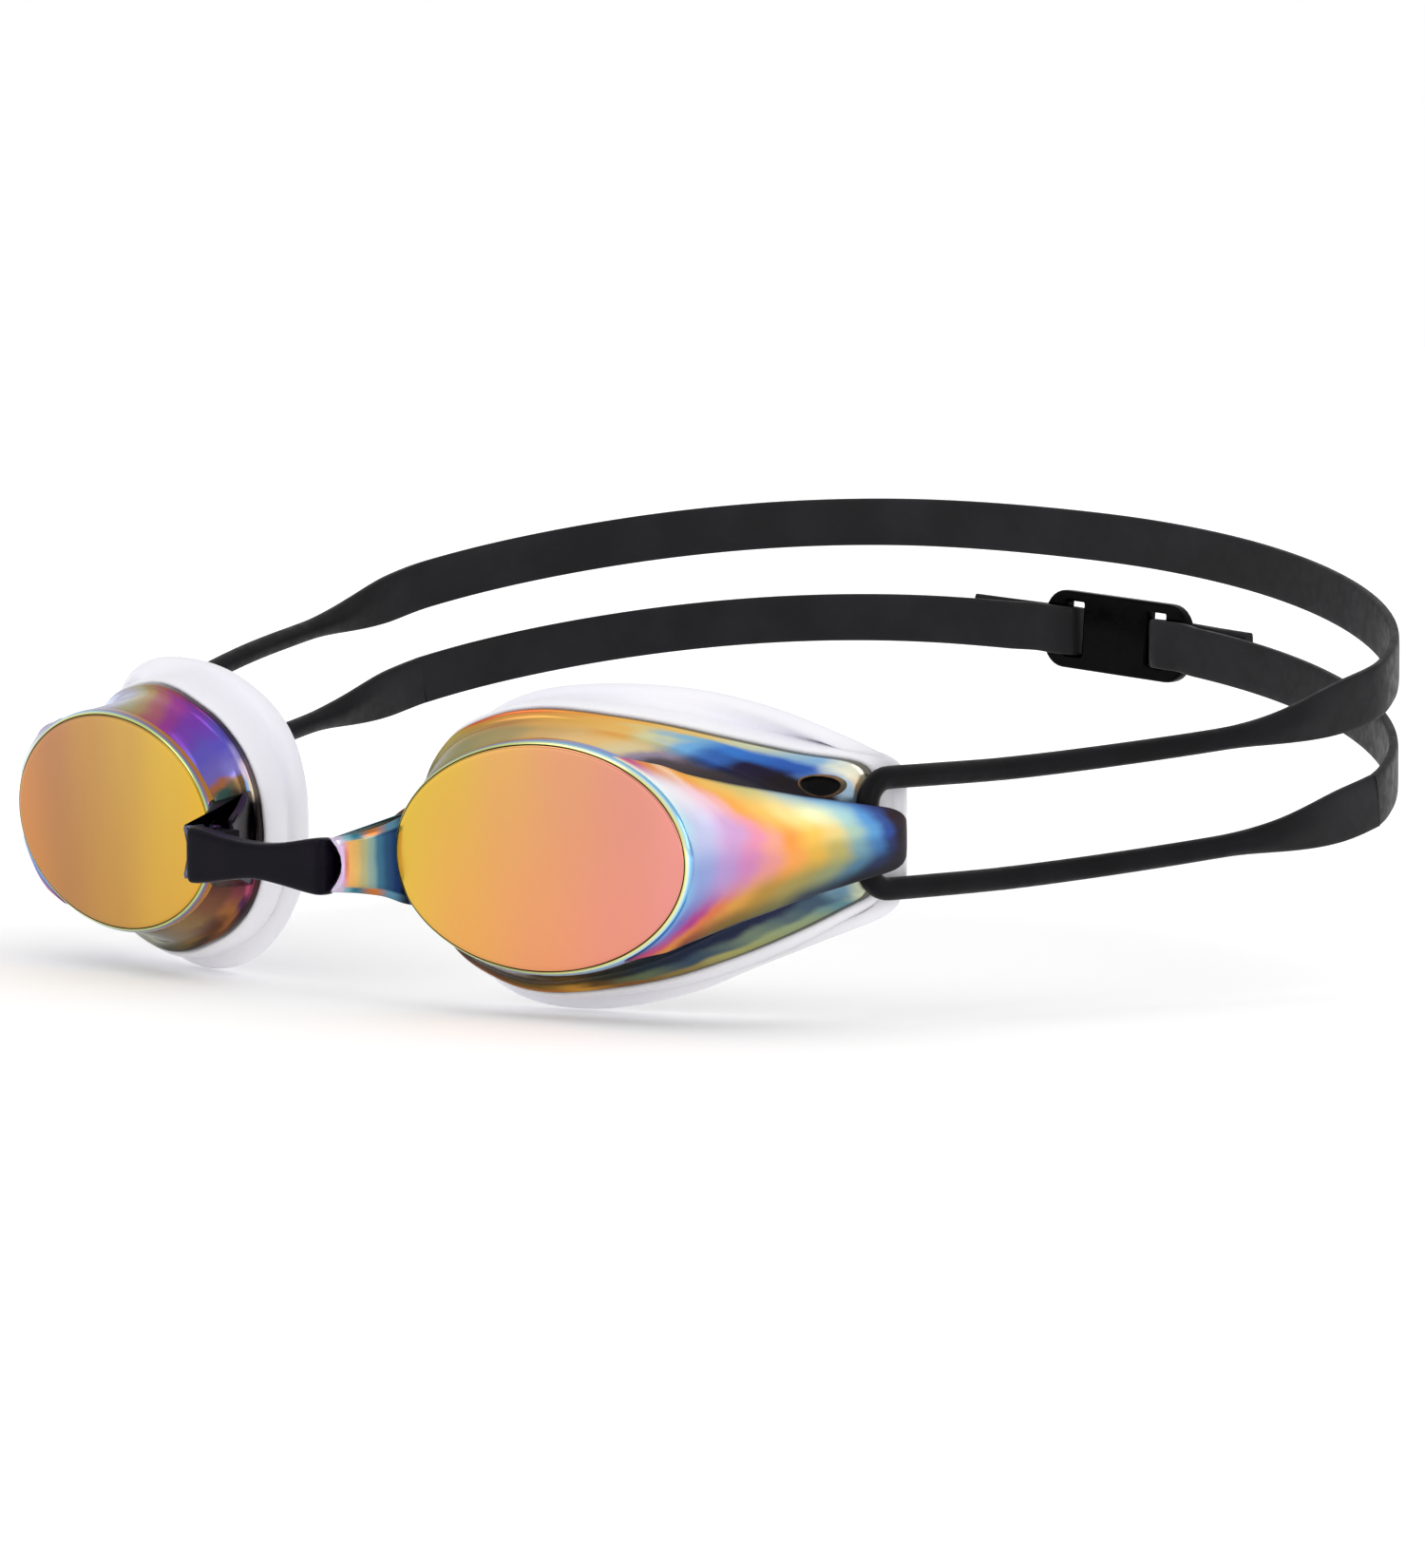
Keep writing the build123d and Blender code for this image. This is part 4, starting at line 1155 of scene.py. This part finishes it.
def clip_plate(material):
    """The buckle: a plate with two slots and soft edges."""
    slot_middle = (SLOT_INNER + SLOT_OUTER) / 2
    slot_half = (SLOT_OUTER - SLOT_INNER) / 2
    outlines = [rounded_box(CLIP_HALF_LENGTH - CLIP_EDGE, CLIP_HALF_HEIGHT - CLIP_EDGE, CLIP_CORNER,
                            drop=-CLIP_RAISE)]
    outlines += [rounded_box(slot_half + CLIP_EDGE, SLOT_HALF_HEIGHT + CLIP_EDGE, SLOT_CORNER,
                             sign * slot_middle, -SLOT_RAISE) for sign in (1, -1)]
    curve = bpy.data.curves.new("clip_outline", "CURVE")
    curve.dimensions = "2D"
    curve.fill_mode = "BOTH"
    curve.extrude = (CLIP_THICKNESS / 2 - CLIP_EDGE) * MM
    curve.bevel_depth = CLIP_EDGE * MM
    curve.bevel_resolution = 3
    for outline in outlines:
        spline = curve.splines.new("POLY")
        spline.points.add(len(outline) - 1)
        for point, (x, y) in zip(spline.points, outline):
            point.co = (x * MM, y * MM, 0, 1)
        spline.use_cyclic_u = True
    shape = add_object("clip_outline", curve)
    mesh = bpy.data.meshes.new_from_object(shape.evaluated_get(bpy.context.evaluated_depsgraph_get()))
    bpy.data.objects.remove(shape)
    middle, along, down, outward = clip_axes()
    centre = middle + outward * (CLIP_STANDOFF + CLIP_THICKNESS / 2)
    for vertex in mesh.vertices:
        x, y, z = np.array(vertex.co) / MM
        vertex.co = tuple((centre + along * x + down * y + outward * z) * MM)
    return dress(add_object("clip_plate", mesh), material, "clip", ["strap_clip"])


def main():
    near_face = face_material("mirror_gold", GOLD_FACE, GOLD_FACE_LOW, 1)
    far_face = face_material("mirror_bronze", BRONZE_FACE, BRONZE_FACE_LOW, -1)
    rim = rim_material("mirror_rim", RIM_TOP, RIM_OUTER)
    shells = {"left": shell_material("mirror_shell_left", NEAR_TOP, NEAR_BOTTOM),
              "right": shell_material("mirror_shell_right", FAR_TOP, FAR_BOTTOM)}
    wings = {"left": wing_material("mirror_wing_left", WING_STREAKS, "#141634", TIP_SHARE),
             "right": wing_material("mirror_wing_right", FAR_WING_STREAKS, "#a8a4c8", TIP_SHARE)}
    tabs = {"left": tab_material("mirror_tab_left", TAB_RUN, TAB_EDGE),
            "right": tab_material("mirror_tab_right", FAR_TAB_RUN, FAR_TAB_EDGE)}
    eyelet = eyelet_material()
    silicone = silicone_material()
    plastic = black_material("bridge_plastic_black", ("#0a0812", "#110d18"), (0.26, 0.36), 0.07, 0.00001)
    rubber = black_material("strap_rubber", ("#060508", "#0d0b10"), (0.38, 0.52), 0.12, 0.00002,
                            ("#1b1b1d", "#212124"))
    gloss = black_material("clip_gloss", ("#010102", "#040405"), (0.08, 0.14), 0.04, 0.000005)
    for side, mirrored, face in (("left", False, near_face), ("right", True, far_face)):
        lens_face(side, mirrored, face)
        lens_rim(side, mirrored, rim)
        lens_shell(side, mirrored, shells[side])
        lens_wing(side, mirrored, wings[side])
        lens_tab(side, mirrored, tabs[side])
        lens_eyelet(side, mirrored, eyelet)
        gasket(side, mirrored, silicone)
    bridge(plastic)
    strap(rubber)
    clip_plate(gloss)


# ------------------------------------------------------------------ stage, light and camera

CAMERA_AZIMUTH = 41.51
CAMERA_ELEVATION = 4.745
CAMERA_DISTANCE = 637.83
CAMERA_TARGET = Vector((21.89, 40.0, 4.77))
CAMERA_LENS = 130.78
AMBIENT = 0.85
FLOOR_HALF = 9000.0
FLOOR_GAP = 0.2           # below the part
FLOOR_GLOW = (0.16, 0.42)         # near the part, and further off
FLOOR_GLOW_REACH = (0.05, 0.4)    # metres from the middle


def add_camera():
    azimuth, elevation = math.radians(CAMERA_AZIMUTH), math.radians(CAMERA_ELEVATION)
    away = Vector((math.sin(azimuth) * math.cos(elevation), -math.cos(azimuth) * math.cos(elevation),
                   math.sin(elevation)))
    data = bpy.data.cameras.new("camera")
    data.lens = CAMERA_LENS
    data.sensor_width = 36.0
    data.clip_start = 0.01
    data.clip_end = 20.0
    camera = add_object("camera", data)
    camera.location = (CAMERA_TARGET + away * CAMERA_DISTANCE) * MM
    camera.rotation_euler = (-away).to_track_quat("-Z", "Y").to_euler()
    bpy.context.scene.camera = camera


def add_floor():
    """A large pale floor that lightens with distance, so that it has no horizon."""
    low = CAD_BOX[0][2] / MM - FLOOR_GAP
    corners = [(x * FLOOR_HALF, y * FLOOR_HALF, low) for x, y in ((-1, -1), (1, -1), (1, 1), (-1, 1))]
    floor = mesh_of("floor", corners, [(0, 1, 2, 3)], levels=0)
    material, tree, shader = new_material("floor_paint")
    tone = mottle(tree, 3.0, 0.0, 1.0, 2.0)
    paint(tree, shader, blend_colours(tree, tone, srgb("#f9f9f9"), srgb("#fcfcfc")))
    length = tree.nodes.new("ShaderNodeVectorMath")
    length.operation = "LENGTH"
    tree.links.new(place(tree), length.inputs[0])
    shader.inputs["Emission Color"].default_value = (1.0, 1.0, 1.0, 1.0)
    glow = spread(tree, length.outputs["Value"], *FLOOR_GLOW_REACH, *FLOOR_GLOW)
    tree.links.new(glow, shader.inputs["Emission Strength"])
    shader.inputs["Roughness"].default_value = 0.9
    shader.inputs["Specular IOR Level"].default_value = 0.1
    floor.data.materials.append(material)


def area_light(name, place_at, target, size, energy):
    data = bpy.data.lights.new(name, "AREA")
    data.shape = "RECTANGLE"
    data.size, data.size_y = size
    data.energy = energy
    light = add_object(name, data)
    light.location = place_at
    light.rotation_euler = (Vector(target) - Vector(place_at)).to_track_quat("-Z", "Y").to_euler()


def add_lights():
    """An even white studio, brighter to the camera than to the object, with two soft lamps. Their places
    and sizes are in metres, and their strengths in watts."""
    world = bpy.data.worlds.new("studio")
    bpy.context.scene.world = world
    world.use_nodes = True
    tree = world.node_tree
    background = tree.nodes["Background"]
    background.inputs["Color"].default_value = (1.0, 1.0, 1.0, 1.0)
    seen = tree.nodes.new("ShaderNodeLightPath").outputs["Is Camera Ray"]
    tree.links.new(spread(tree, seen, 0.0, 1.0, AMBIENT, 1.0, "LINEAR"), background.inputs["Strength"])
    area_light("key", (-0.35, -0.75, 0.75), (0, 0.04, 0), (0.6, 0.6), 1.5)
    area_light("side", (0.8, -0.1, 0.35), (0.02, 0.05, 0), (0.25, 0.5), 0.8)
    bpy.context.scene.view_settings.view_transform = "Standard"


main()
add_camera()
add_floor()
add_lights()
